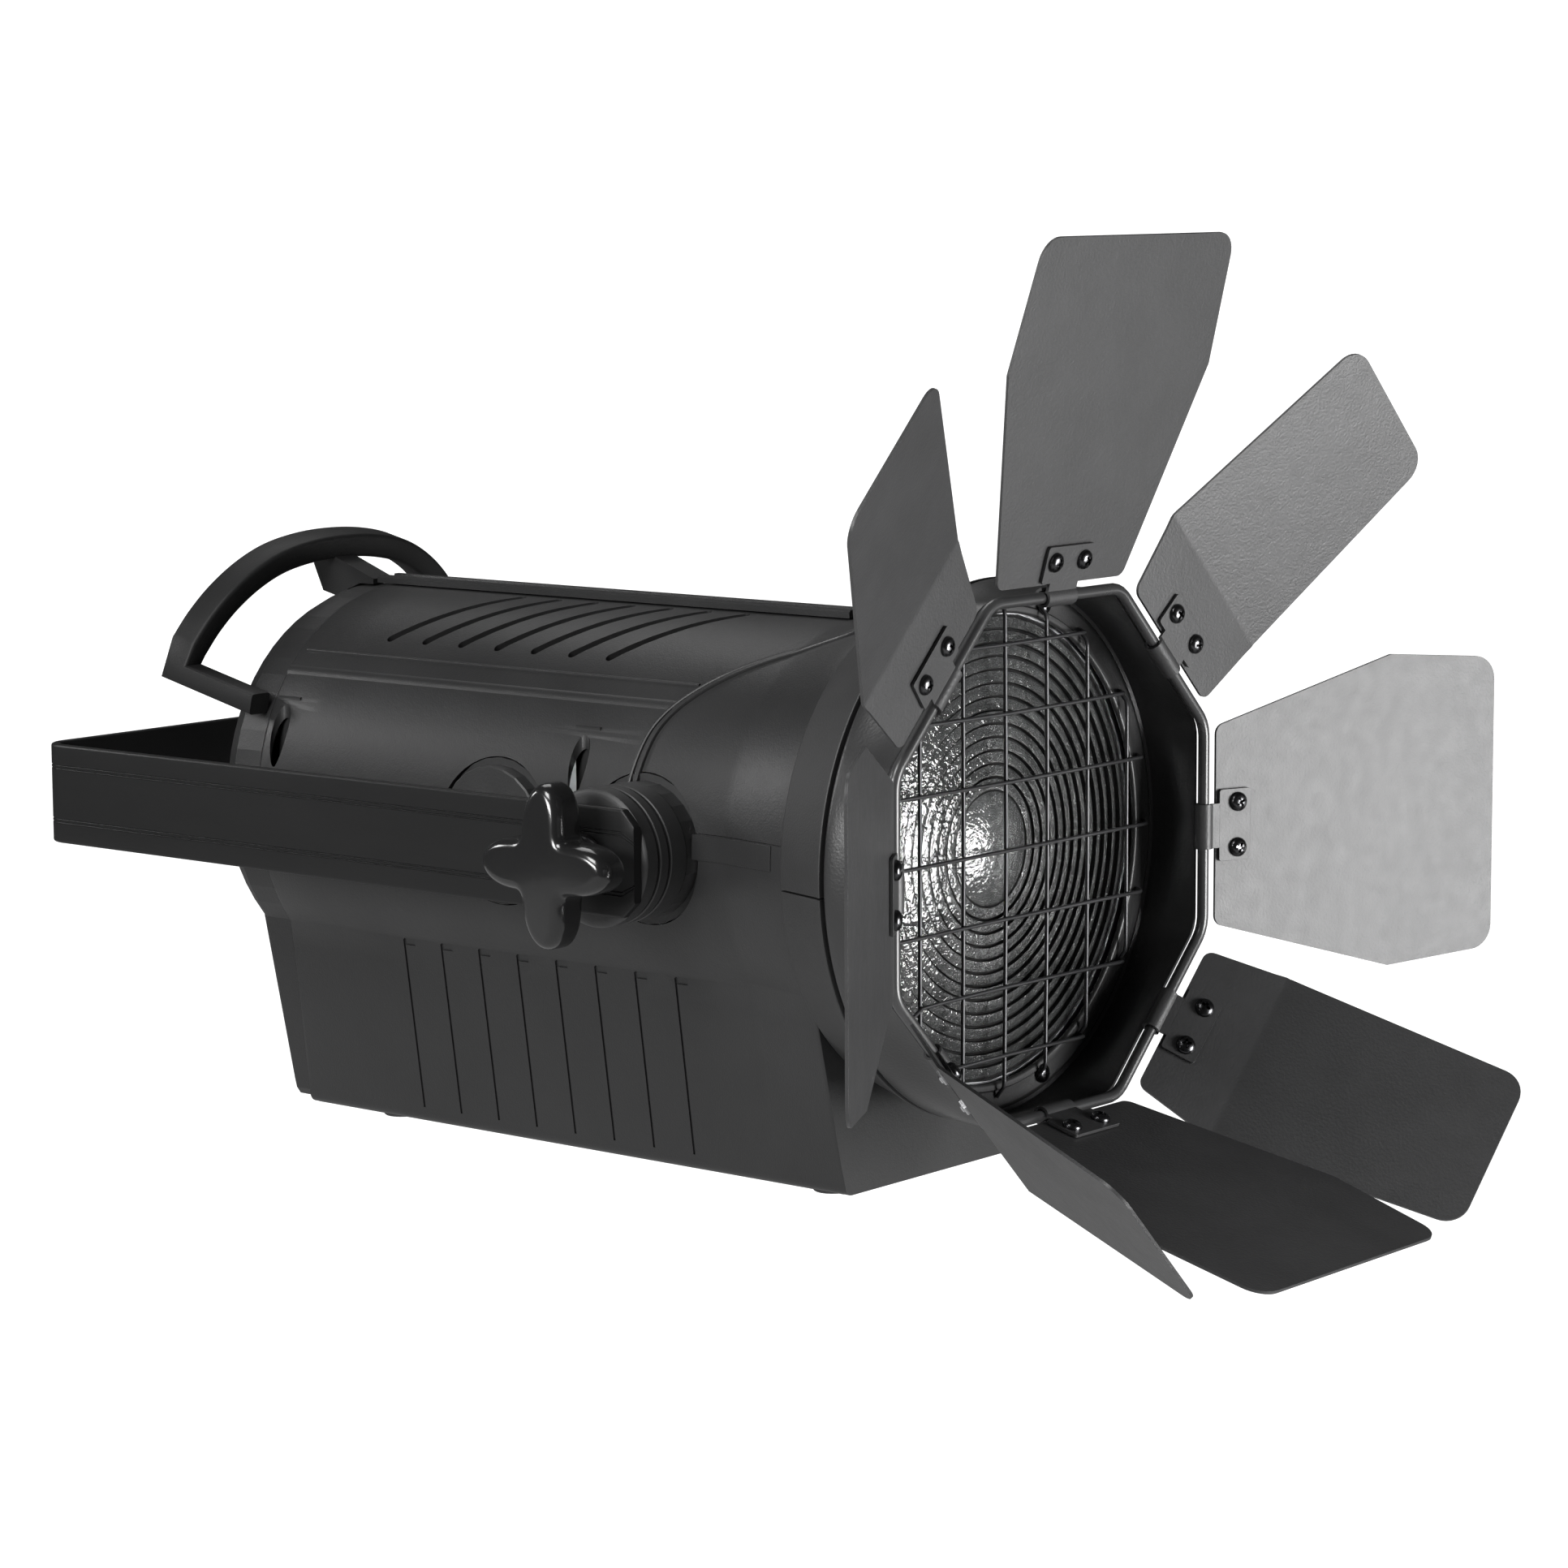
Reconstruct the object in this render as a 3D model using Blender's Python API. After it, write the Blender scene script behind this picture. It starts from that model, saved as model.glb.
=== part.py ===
"""Fresnel spotlight: two-shell housing, flat-bar yoke, arched handle and an eight-leaf rotating barn door.

Metres, +Z up. The lens faces -Y and x = 0 is the plane of symmetry. Shapes are drawn with y from the rim of
the barn door and z from the feet, and every object is then moved so that the stud hole in the yoke's back is
the origin.
"""

import math

import bmesh
import bpy
from mathutils import Matrix, Vector

AXIS_Z = 0.1345
DATUM = Vector((0, 0.4484, AXIS_Z))

# Housing
SHELL_R = 0.086
SHELL_FRONT_R = 0.0925
WALL = 0.0025
SHELL_Y0 = 0.0573
CONE_Y1 = 0.094
SHELL_Y1 = 0.349
SPLIT_Z = 0.009
SHOULDER_Z = -0.0514
BOTTOM_Z = -0.1313
BOTTOM_HALF = 0.0572
GAP = 0.0003
MERGE = 0.000001

# Barn door
RIM_FLATS = 0.200
WIRE_R = 0.0023
LEAF_T = 0.0012
LEAF_START = 0.0054
BOLT_U = 0.0092
BOLT_V = 0.0150

# Tilt pivots and yoke
PIVOT_Y = 0.1366
SPARE_Y = 0.2140
POCKET_R = 0.0300
YOKE_HALF = 0.117
YOKE_T = 0.0040
YOKE_H = 0.042
YOKE_BACK = 0.4484
YOKE_FRONT = 0.112

# Focus carriage
CARRIAGE_Y = 0.206
ROD_X = 0.058
ROD_Z = -0.040
SCREW_Z = -0.068

# Leaves: name, place round the rim and opening from straight ahead in degrees, and whether it is a corner leaf
LEAVES = (
    ("right", 0.0, 67.7, False),
    ("upper_right", 45.0, 83.2, True),
    ("top", 90.0, 74.0, False),
    ("upper_left", 135.0, 80.4, True),
    ("left", 180.0, 58.3, False),
    ("lower_left", 225.0, 36.4, True),
    ("bottom", 270.0, 16.2, False),
    ("lower_right", 315.0, 40.5, True),
)
WIDE_LEAF = (
    (LEAF_START, 0.0380),
    (0.0088, 0.0410),
    (0.0902, 0.0642),
    (0.1330, 0.0611),
    (0.1380, 0.0598),
    (0.1412, 0.0570),
    (0.1424, 0.0520),
)
CORNER_LEAF = (
    (LEAF_START, 0.0310),
    (0.0085, 0.0338),
    (0.0404, 0.0394),
    (0.1310, 0.0356),
    (0.1390, 0.0340),
    (0.1425, 0.0305),
    (0.1435, 0.0255),
)
FOLD_V = 0.0404
FOLD_DEG = -15.5

for leftover in list(bpy.data.objects):
    bpy.data.objects.remove(leftover, do_unlink=True)

parts = bpy.data.collections.new("fresnel_spotlight")
cutters = bpy.data.collections.new("cutters")
bpy.context.scene.collection.children.link(parts)
bpy.context.scene.collection.children.link(cutters)


def material(name, color, metallic, roughness):
    mat = bpy.data.materials.new(name)
    mat.use_nodes = True
    shader = mat.node_tree.nodes["Principled BSDF"]
    shader.inputs["Base Color"].default_value = (*color, 1.0)
    shader.inputs["Metallic"].default_value = metallic
    shader.inputs["Roughness"].default_value = roughness
    mat.diffuse_color = (*color, 1.0)
    return mat


DIECAST = (0.035, 0.035, 0.036)
BLACK = (0.02, 0.02, 0.021)
STEEL = (0.55, 0.55, 0.56)
ALLOY = (0.70, 0.71, 0.72)


def add_object(name, mesh, color, metallic=0.0, roughness=0.5, origin=(0, 0, 0), cutter=False):
    """Objects carry their own material and have their origin where they turn or slide."""
    obj = bpy.data.objects.new(name, mesh)
    (cutters if cutter else parts).objects.link(obj)
    if cutter:
        obj.hide_render = True
        obj.display_type = "WIRE"
        obj.location = -DATUM
        return obj
    for vertex in mesh.vertices:
        vertex.co -= Vector(origin)
    obj.location = Vector(origin) - DATUM
    mesh.materials.append(material(name, color, metallic, roughness))
    return obj


def finished(name, bm):
    """The bmesh as a closed mesh of triangles with its faces pointing out."""
    bmesh.ops.recalc_face_normals(bm, faces=bm.faces)
    bmesh.ops.triangulate(bm, faces=bm.faces)
    mesh = bpy.data.meshes.new(name)
    bm.to_mesh(mesh)
    bm.free()
    return mesh


def mesh_of(name, points, faces):
    mesh = bpy.data.meshes.new(name)
    mesh.from_pydata([tuple(p) for p in points], [], faces)
    bm = bmesh.new()
    bm.from_mesh(mesh)
    bpy.data.meshes.remove(mesh)
    return finished(name, bm)


def merged(name, meshes):
    """One mesh that holds several closed shapes."""
    points = []
    faces = []
    for mesh in meshes:
        first = len(points)
        points += [v.co.copy() for v in mesh.vertices]
        faces += [[first + i for i in p.vertices] for p in mesh.polygons]
    return mesh_of(name, points, faces)


def loft(name, rings, closed=False, crown=None):
    """Joins rings of equal length. Closed makes a torus, else both ends are capped.

    A ring that is the same on both sides of its crown point gets caps made of level strips.
    """
    count = len(rings[0])
    points = [p for ring in rings for p in ring]
    faces = []
    last = len(rings) if closed else len(rings) - 1
    for i in range(last):
        a = i * count
        b = ((i + 1) % len(rings)) * count
        for j in range(count):
            k = (j + 1) % count
            faces.append((a + j, a + k, b + k, b + j))
    for first in () if closed else (0, len(points) - count):
        if crown is None:
            faces.append(tuple(range(first, first + count)))
            continue
        for i in range(crown, crown + (count - 1) // 2):
            strip = [i % count, (i + 1) % count, (2 * crown - i - 1) % count, (2 * crown - i) % count]
            faces.append(tuple(first + k for k in dict.fromkeys(strip)))
    return mesh_of(name, points, faces)


def box(name, low, high):
    bm = bmesh.new()
    bmesh.ops.create_cube(bm, size=1.0)
    bmesh.ops.scale(bm, verts=bm.verts, vec=Vector(high) - Vector(low))
    bmesh.ops.translate(bm, verts=bm.verts, vec=(Vector(high) + Vector(low)) / 2)
    return finished(name, bm)


AXES = {
    "X": (Vector((0, 1, 0)), Vector((1, 0, 0))),
    "Y": (Vector((1, 0, 0)), Vector((0, 1, 0))),
    "Z": (Vector((1, 0, 0)), Vector((0, 0, 1))),
}


def turned(name, profile, axis, centre, steps=40):
    """Spins (radius, height) pairs about an axis: radii of zero at the ends close it, else it is a ring."""
    spoke, along = AXES[axis]
    bm = bmesh.new()
    verts = [bm.verts.new(Vector(centre) + spoke * radius + along * height) for radius, height in profile]
    edges = [bm.edges.new(pair) for pair in zip(verts, verts[1:])]
    if profile[0][0] > 0:
        edges.append(bm.edges.new((verts[-1], verts[0])))
    bmesh.ops.spin(bm, geom=verts + edges, cent=centre, axis=along, angle=2 * math.pi, steps=steps,
                   use_merge=True)
    bmesh.ops.remove_doubles(bm, verts=bm.verts, dist=MERGE)
    return finished(name, bm)


def rod(name, axis, centre, radius, start, end, steps=24):
    _, along = AXES[axis]
    place = Matrix.Translation(Vector(centre) + along * (start + end) / 2)
    turn = along.to_track_quat("Z", "Y").to_matrix().to_4x4()
    bm = bmesh.new()
    bmesh.ops.create_cone(bm, cap_ends=True, segments=steps, radius1=radius, radius2=radius,
                          depth=abs(end - start), matrix=place @ turn)
    return finished(name, bm)


def cut(obj, mesh, operation="DIFFERENCE"):
    cutter = add_object(f"{obj.name}_{operation.lower()}_{len(obj.modifiers)}", mesh, BLACK, cutter=True)
    modifier = obj.modifiers.new(cutter.name, "BOOLEAN")
    modifier.operation = operation
    modifier.object = cutter
    modifier.solver = "EXACT"
    return obj


def extruded_x(name, outline, half):
    """A (y, z) outline drawn out to both sides of x = 0, with z from the optical axis."""
    return loft(name, [[(x, y, AXIS_Z + z) for y, z in outline] for x in (-half, half)])


# ---------------------------------------------------------------- housing sections


def arc(radius, start, end, steps):
    turns = [math.radians(start + (end - start) * i / steps) for i in range(steps + 1)]
    return [(radius * math.cos(t), radius * math.sin(t)) for t in turns]


def side_wall(inset):
    """The right-hand flat side, from the shoulder to the bottom corner, as (x, z) pairs."""
    shoulder_x = math.sqrt(SHELL_R**2 - SHOULDER_Z**2)
    return [
        (shoulder_x - inset, SHOULDER_Z),
        (BOTTOM_HALF + 0.0008 - inset, BOTTOM_Z + 0.004 + inset),
        (BOTTOM_HALF - 0.0012 - inset, BOTTOM_Z + 0.0012 + inset),
        (BOTTOM_HALF - 0.0052 - inset, BOTTOM_Z + inset),
    ]


def full_section(inset=0.0, steps=44):
    """The whole outline of the housing, round at the top and boxed at the bottom."""
    radius = SHELL_R - inset
    start = math.degrees(math.asin(SHOULDER_Z / radius))
    top = arc(radius, start, 180 - start, steps)
    left = [(-x, z) for x, z in side_wall(inset)[1:]]
    right = list(reversed(side_wall(inset)[1:]))
    return top + left + right


def at_y(section, y):
    return [(x, y, AXIS_Z + z) for x, z in section]


def shell_rings(radii, start, end, steps):
    """Half-pipe rings with wall thickness, one for each (y, outer radius)."""
    rings = []
    for y, radius in radii:
        outer = arc(radius, start(radius), end(radius), steps)
        inner_r = radius - WALL
        inner = arc(inner_r, end(inner_r), start(inner_r), steps)
        rings.append(at_y(outer + inner, y))
    return rings


# ---------------------------------------------------------------- vents and pockets


def slot_cutter(y_top, side):
    """One slanted vent slot with rounded ends that follows the round of the shell."""
    turn_top = math.radians(83.0)
    turn_low = math.radians(52.5)
    y_low = y_top + 0.040
    half = 0.0021
    ends = ((0.0, 0.35), (0.028, 1.0))
    stations = list(ends) + [(0.27, 1.0), (0.5, 1.0), (0.73, 1.0)]
    stations += [(1 - t, w) for t, w in reversed(ends)]
    slant = math.atan2(0.040, SHELL_R * (turn_top - turn_low))
    rings = []
    for share, width in stations:
        turn = turn_top + (turn_low - turn_top) * share
        y = y_top + (y_low - y_top) * share
        off_y = half * width * math.cos(slant)
        off_turn = half * width * math.sin(slant) / SHELL_R
        ring = []
        for radius, sign in ((0.0935, 1), (0.0935, -1), (0.0795, -1), (0.0795, 1)):
            angle = turn + sign * off_turn
            x = side * radius * math.cos(angle)
            ring.append((x, y + sign * off_y, AXIS_Z + radius * math.sin(angle)))
        rings.append(ring)
    return loft("slot", rings)


def vent_slots():
    tops = [0.1430 + 0.0202 * i for i in range(7)]
    return merged("slots", [slot_cutter(y, side) for y in tops for side in (-1, 1)])


def pocket_posts():
    """Posts inside the upper shell that carry the screw pockets, trimmed to the round."""
    posts = []
    for side in (-1, 1):
        for y in (0.173, 0.340):
            posts.append(box("post", (side * 0.070 - 0.0045, y - 0.0065, AXIS_Z + 0.0105),
                             (side * 0.070 + 0.0045, y + 0.0065, AXIS_Z + 0.0445)))
    return merged("posts", posts)


def pocket_cutters():
    return merged("pockets", [
        rod("pocket", "Z", (side * 0.080, y, AXIS_Z), 0.0045, 0.0125, 0.060, 12)
        for side in (-1, 1) for y in (0.173, 0.340)
    ])


def pivot_cutters():
    return merged("pivots", [
        rod("pivot", "X", (0, y, AXIS_Z), POCKET_R, side * 0.060, side * 0.100, 24)
        for side in (-1, 1) for y in (PIVOT_Y, SPARE_Y)
    ])


# ---------------------------------------------------------------- housing


def upper_shell():
    radii = [(SHELL_Y0, SHELL_FRONT_R), (CONE_Y1, SHELL_R), (SHELL_Y1 - 0.0016, SHELL_R),
             (SHELL_Y1, SHELL_R - 0.0012)]

    def start(radius):
        return math.degrees(math.asin((SPLIT_Z + 0.0002) / radius))

    def end(radius):
        return 180 - start(radius)

    mesh = loft("upper_shell", shell_rings(radii, start, end, 32))
    obj = add_object("upper_shell", mesh, DIECAST, 0.0, 0.55)
    cut(obj, pocket_posts(), "UNION")
    cut(obj, pocket_cutters())
    cut(obj, vent_slots())
    cut(obj, pivot_cutters())
    return obj


def groove_cutters():
    """Eight upright grooves in each flat side."""
    shoulder_x = math.sqrt(SHELL_R**2 - SHOULDER_Z**2)
    lean = (shoulder_x - BOTTOM_HALF) / (SHOULDER_Z - BOTTOM_Z)
    grooves = []
    for side in (-1, 1):
        for i in range(8):
            y = 0.1335 + 0.0211 * i
            rings = []
            for z in (SHOULDER_Z - 0.001, BOTTOM_Z + 0.0065):
                x = side * (BOTTOM_HALF + lean * (z - BOTTOM_Z))
                rings.append([(x - side * 0.0007, y - 0.0004, AXIS_Z + z),
                              (x + side * 0.004, y - 0.0004, AXIS_Z + z),
                              (x + side * 0.004, y + 0.0004, AXIS_Z + z), (x - side * 0.0007, y + 0.0004,
                                                                           AXIS_Z + z)])
            grooves.append(loft("groove", rings))
    return merged("grooves", grooves)


def lower_shell():
    """Round at the top with a flared front, then flat sides: an outer solid less its hollow and its details."""

    def section(radius, inset):
        low = math.degrees(math.asin(SHOULDER_Z / radius))
        high = math.degrees(math.asin(SPLIT_Z / radius))
        right = arc(radius, high, low, 10)
        wall = side_wall(inset)[1:]
        half = right + wall
        return half + [(-x, z) for x, z in reversed(half)]

    outer = [at_y(section(r, 0.0), y) for y, r in
             ((SHELL_Y0, SHELL_FRONT_R), (CONE_Y1, SHELL_R), (SHELL_Y1 - 0.0016, SHELL_R),
              (SHELL_Y1, SHELL_R - 0.0012))]
    obj = add_object("lower_shell", loft("lower_shell", outer), DIECAST, 0.0, 0.55)

    def hollow(radius):
        low = math.degrees(math.asin(SHOULDER_Z / radius))
        right = arc(radius, math.degrees(math.asin(0.02 / radius)), low, 10)
        wall = [(BOTTOM_HALF - 0.0020, BOTTOM_Z + 0.006), (BOTTOM_HALF - 0.0022, BOTTOM_Z - 0.004)]
        half = right + wall
        return half + [(-x, z) for x, z in reversed(half)]

    inner = [at_y(hollow(r), y) for y, r in
             ((SHELL_Y0 + 0.003, SHELL_FRONT_R - 0.0032), (CONE_Y1, SHELL_R - WALL),
              (SHELL_Y1 + 0.004, SHELL_R - WALL))]
    cut(obj, loft("hollow", inner))
    cut(obj, rod("throat", "Y", (0, 0, AXIS_Z), 0.086, SHELL_Y0 - 0.005, SHELL_Y0 + 0.006, 64))
    cut(obj, pivot_cutters())
    cut(obj, groove_cutters())
    cut(obj, merged("strips", [
        box("strip", (side * 0.0885 - 0.0035, 0.0660, AXIS_Z - 0.0016),
            (side * 0.0885 + 0.0035, 0.1100, AXIS_Z + 0.011))
        for side in (-1, 1)
    ]))
    return obj


def front_collar():
    """Dark band round the lens opening, with the seat that holds the lens."""
    profile = [
        (0.1056, 0.0308), (0.1046, 0.0330), (0.0976, 0.0560), (0.0964, 0.0570), (0.0880, 0.0570),
        (0.0880, 0.0412), (0.0948, 0.0412), (0.0948, 0.0308),
    ]
    mesh = turned("front_collar", profile, "Y", (0, 0, AXIS_Z), 48)
    return add_object("front_collar", mesh, DIECAST, 0.0, 0.6)


def lens():
    """Fresnel lens with a bullseye and stepped rings on its front."""
    back = 0.0408
    profile = [(0.0, 0.0262), (0.0120, 0.0271), (0.0240, 0.0310), (0.0240, 0.0345)]
    radius = 0.0240
    for _ in range(4):
        profile.append((radius + 0.0156, 0.0318))
        radius += 0.0160
        profile.append((radius, 0.0345))
    profile += [(0.0912, 0.0345), (0.0944, 0.0345), (0.0944, back), (0.0, back)]
    mesh = turned("lens", profile, "Y", (0, 0, AXIS_Z), 32)
    return add_object("lens", mesh, (0.9, 0.92, 0.93), 0.0, 0.05)


def lens_ring():
    profile = [(0.0915, 0.0312), (0.0945, 0.0312), (0.0945, 0.0342), (0.0915, 0.0342)]
    mesh = turned("lens_ring", profile, "Y", (0, 0, AXIS_Z), 32)
    return add_object("lens_ring", mesh, ALLOY, 1.0, 0.4)


def top_rail():
    """Rail along the crown with a shallow channel in its top."""
    low = SHELL_R + GAP
    outline = [(-0.0070, low), (0.0070, low), (0.0070, low + 0.0024), (0.0062, low + 0.0032),
               (0.0035, low + 0.0032), (0.0030, low + 0.0020), (-0.0030, low + 0.0020), (-0.0035,
                                                                                         low + 0.0032),
               (-0.0062, low + 0.0032), (-0.0070, low + 0.0024)]
    mesh = loft("top_rail", [at_y(outline, y) for y in (0.0952, 0.3540)])
    return add_object("top_rail", mesh, BLACK, 0.0, 0.45)


def rear_cover():
    """Hollow cap behind the shells with exhaust slots and openings for the controls."""
    inset = (0.0012, 0.0012, 0.0042, 0.0085)
    deep = (SHELL_Y1 + GAP, 0.3640, 0.3705, 0.3725)

    rings = []
    for shrink, y in zip(inset, deep):
        ring = []
        for x, z in full_section(shrink):
            drop = max(0.0, min(1.0, (SHOULDER_Z + 0.02 - z) / 0.10))
            ring.append((x, y - (y - deep[0]) * 0.42 * drop, AXIS_Z + z))
        rings.append(ring)
    obj = add_object("rear_cover", loft("rear_cover", rings, crown=22), DIECAST, 0.0, 0.6)
    hollow = []
    for y in (SHELL_Y1 - 0.004, 0.3545, 0.3690):
        ring = []
        for x, z in full_section(0.0065):
            drop = max(0.0, min(1.0, (SHOULDER_Z + 0.02 - z) / 0.10))
            ring.append((x, y - max(0.0, y - deep[0]) * 0.50 * drop, AXIS_Z + z))
        hollow.append(ring)
    cut(obj, loft("cover_hollow", hollow, crown=22))
    cut(obj, merged("exhaust", [
        box("exhaust", (-half, 0.3600, AXIS_Z + z - 0.0015), (half, 0.3800, AXIS_Z + z + 0.0015))
        for half, z in ((0.030, 0.062), (0.038, 0.054), (0.044, 0.046), (0.048, 0.038), (0.050, 0.030),
                        (0.050, 0.022))
    ]))
    cut(obj, merged("notches", [
        box("notch", (side * 0.083 - 0.010, 0.3560, AXIS_Z + 0.0530),
            (side * 0.083 + 0.010, 0.3800, AXIS_Z + 0.0610))
        for side in (-1, 1)
    ]))
    cut(obj, merged("control_holes", [
        rod("hole", "Y", (0.0, 0, AXIS_Z + SCREW_Z), 0.0048, 0.3400, 0.3800),
        rod("hole", "Y", (0.030, 0, AXIS_Z - 0.010), 0.0038, 0.3400, 0.3800),
        box("hole", (-0.0403, 0.3500, AXIS_Z - 0.0175), (-0.0197, 0.3800, AXIS_Z - 0.0025)),
        box("hole", (-0.0143, 0.3400, AXIS_Z - 0.1143), (0.0143, 0.3750, AXIS_Z - 0.0927)),
    ]))
    return obj


def rounded(half_a, half_b, chamfer):
    return [
        (-half_a + chamfer, -half_b), (half_a - chamfer, -half_b), (half_a, -half_b + chamfer),
        (half_a, half_b - chamfer), (half_a - chamfer, half_b), (-half_a + chamfer, half_b),
        (-half_a, half_b - chamfer), (-half_a, -half_b + chamfer),
    ]


def carry_handle():
    """Arched hoop that leans forward, two legs to the sides of the cover and a central arm to the crown."""
    lean = math.radians(13.0)
    down = Vector((0, math.sin(lean), -math.cos(lean)))
    back = Vector((0, math.cos(lean), math.sin(lean)))
    top = Vector((0, 0.3850, AXIS_Z + 0.1068)) + down * 0.0055
    half_arch = [(0.0180, 0.0010), (0.0355, 0.0045), (0.0500, 0.0110), (0.0625, 0.0200), (0.0720, 0.0300),
                 (0.0788, 0.0400)]
    path = [(-x, d) for x, d in reversed(half_arch)] + [(0.0, 0.0)] + half_arch
    section = rounded(0.0052, 0.0070, 0.0016)
    leg_x = 0.0814
    leg_high = 0.0045 / 0.0070
    frames = []
    for i, (x, d) in enumerate(path):
        before = path[max(i - 1, 0)]
        after = path[min(i + 1, len(path) - 1)]
        run = Vector((after[0] - before[0], 0, 0)) + down * (after[1] - before[1])
        outward = run.cross(back).normalized()
        frames.append((top + Vector((x, 0, 0)) + down * d, outward, back))
    for side in (-1, 1):
        out = Vector((side, 0, 0))
        corner = top + out * leg_x + down * 0.0505
        end = corner - back * ((corner.y - SHELL_Y1 - 0.0015) / back.y)
        leg = [(end, out, down * leg_high), (corner, out, back + down * leg_high)]
        frames = leg + frames if side < 0 else frames + leg[::-1]
    rings = [[centre + across * a + along * b for a, b in section] for centre, across, along in frames]
    obj = add_object("carry_handle", loft("carry_handle", rings), DIECAST, 0.0, 0.6)
    arm = [(0.3900, 0.0995), (0.3575, 0.0876), (0.3575, 0.0853), (0.3655, 0.0853), (0.3728, 0.0825),
           (0.3750, 0.0780),
           (0.3880, 0.0810), (0.3935, 0.0925)]
    cut(obj, extruded_x("arm", arm, 0.0060), "UNION")
    return obj


def base_plate():
    mesh = box("base_plate", (-0.0546, SHELL_Y0 + 0.0035, AXIS_Z + BOTTOM_Z),
               (0.0546, SHELL_Y1 - 0.002, AXIS_Z + BOTTOM_Z + 0.002))
    return add_object("base_plate", mesh, DIECAST, 0.0, 0.6)


def feet():
    top = AXIS_Z + BOTTOM_Z - 0.0002
    for name, x, y in (("foot_front_left", -0.040, 0.078), ("foot_front_right", 0.040, 0.078),
                       ("foot_rear_left", -0.040, 0.312), ("foot_rear_right", 0.040, 0.312)):
        profile = [(0.0, 0.0), (0.0072, 0.0), (0.0078, 0.0006), (0.0084, top), (0.0, top)]
        add_object(name, turned(name, profile, "Z", (x, y, 0), 20), (0.03, 0.03, 0.03), 0.0, 0.8)


def pivot_blocks():
    """Threaded blocks behind the round pockets, and the plain caps that close the spare pair."""
    for name, side in (("pivot_block_left", -1), ("pivot_block_right", 1)):
        profile = [(0.0053, 0.0720), (0.0297, 0.0720), (0.0297, 0.0815), (0.0268, 0.0815), (0.0268, 0.0886),
                   (0.0053, 0.0886)]
        mesh = turned(name, [(r, side * h) for r, h in profile], "X", (0, PIVOT_Y, AXIS_Z), 24)
        add_object(name, mesh, BLACK, 0.0, 0.5)
    for name, side in (("pivot_cap_left", -1), ("pivot_cap_right", 1)):
        profile = [(0.0, 0.0745), (0.0297, 0.0745), (0.0297, 0.0815), (0.0268, 0.0815), (0.0268, 0.0870),
                   (0.0262, 0.0876), (0.0, 0.0876)]
        mesh = turned(name, [(r, side * h) for r, h in profile], "X", (0, SPARE_Y, AXIS_Z), 24)
        add_object(name, mesh, BLACK, 0.0, 0.5)


# ---------------------------------------------------------------- inside the housing


def guide_rods():
    for name, x in (("guide_rod_left", -ROD_X), ("guide_rod_right", ROD_X)):
        add_object(name, rod(name, "Y", (x, 0, AXIS_Z + ROD_Z), 0.0040, 0.0612, 0.3460, 16), STEEL, 1.0, 0.25)


def power_supply():
    mesh = box("power_supply", (-0.044, 0.110, AXIS_Z - 0.1270), (0.044, 0.290, AXIS_Z - 0.0900))
    add_object("power_supply", mesh, ALLOY, 1.0, 0.45)
    mesh = box("driver_board", (-0.040, 0.298, AXIS_Z - 0.1250), (0.040, 0.340, AXIS_Z - 0.1234))
    add_object("driver_board", mesh, (0.02, 0.12, 0.05), 0.0, 0.5)


def carriage():
    """LED, its plate, finned heatsink and fan frame, which slide on the rods together."""
    spot = (0, CARRIAGE_Y, AXIS_Z)
    z = AXIS_Z
    outline = [(-0.066, z - 0.050), (-0.012, z - 0.050), (-0.012, z - 0.078), (0.012, z - 0.078),
               (0.012, z - 0.050),
               (0.066, z - 0.050), (0.066, z + 0.020), (0.045, z + 0.048), (-0.045, z + 0.048), (-0.066,
                                                                                                 z + 0.020)]
    mesh = loft("led_plate", [[(x, y, h) for x, h in outline] for y in (0.2060, 0.2090)])
    plate = add_object("led_plate", mesh, ALLOY, 1.0, 0.4, spot)
    holes = [rod("hole", "Y", (x, 0, AXIS_Z + ROD_Z), 0.0044, 0.200, 0.215, 20) for x in (-ROD_X, ROD_X)]
    holes.append(rod("hole", "Y", (0, 0, AXIS_Z + SCREW_Z), 0.0044, 0.200, 0.215, 20))
    cut(plate, merged("plate_holes", holes))
    profile = [(0.0, 0.2010), (0.0100, 0.2010), (0.0130, 0.2022), (0.0130, 0.2030), (0.0180, 0.2034),
               (0.0180, 0.2057), (0.0, 0.2057)]
    add_object("led_emitter", turned("led_emitter", profile, "Y", (0, 0, AXIS_Z), 20), (0.85, 0.75, 0.2),
               0.0, 0.3, spot)
    comb = []
    for i in range(11):
        x = -0.0425 + 0.0082 * i
        comb += [(x, z + 0.042), (x + 0.0030, z + 0.042)]
        if i < 10:
            comb += [(x + 0.0030, z + 0.004), (x + 0.0082, z + 0.004)]
    comb += [(0.0425, z - 0.040), (-0.0425, z - 0.040)]
    mesh = loft("heatsink", [[(x, y, h) for x, h in comb] for y in (0.2093, 0.2480)])
    add_object("heatsink", mesh, ALLOY, 1.0, 0.35, spot)
    mesh = box("fan_frame", (-0.040, 0.2483, AXIS_Z - 0.040), (0.040, 0.2640, AXIS_Z + 0.040))
    frame = add_object("fan_frame", mesh, BLACK, 0.0, 0.5, spot)
    cut(frame, turned("fan_bore", [(0.0165, 0.2445), (0.0380, 0.2445), (0.0380, 0.2600), (0.0165, 0.2600)],
                      "Y", (0, 0, AXIS_Z), 24))
    cut(frame, merged("fan_windows", [fan_window(i) for i in range(4)]))
    cut(frame, rod("fan_hub_room", "Y", (0, 0, AXIS_Z), 0.0170, 0.2445, 0.2600, 24))


def fan_window(i):
    start = 90 * i + 8
    steps = 5
    outer = arc(0.0372, start, start + 74, steps)
    inner = arc(0.0185, start + 74, start, steps)
    return loft("window", [at_y(outer + inner, y) for y in (0.2550, 0.2680)])


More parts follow.
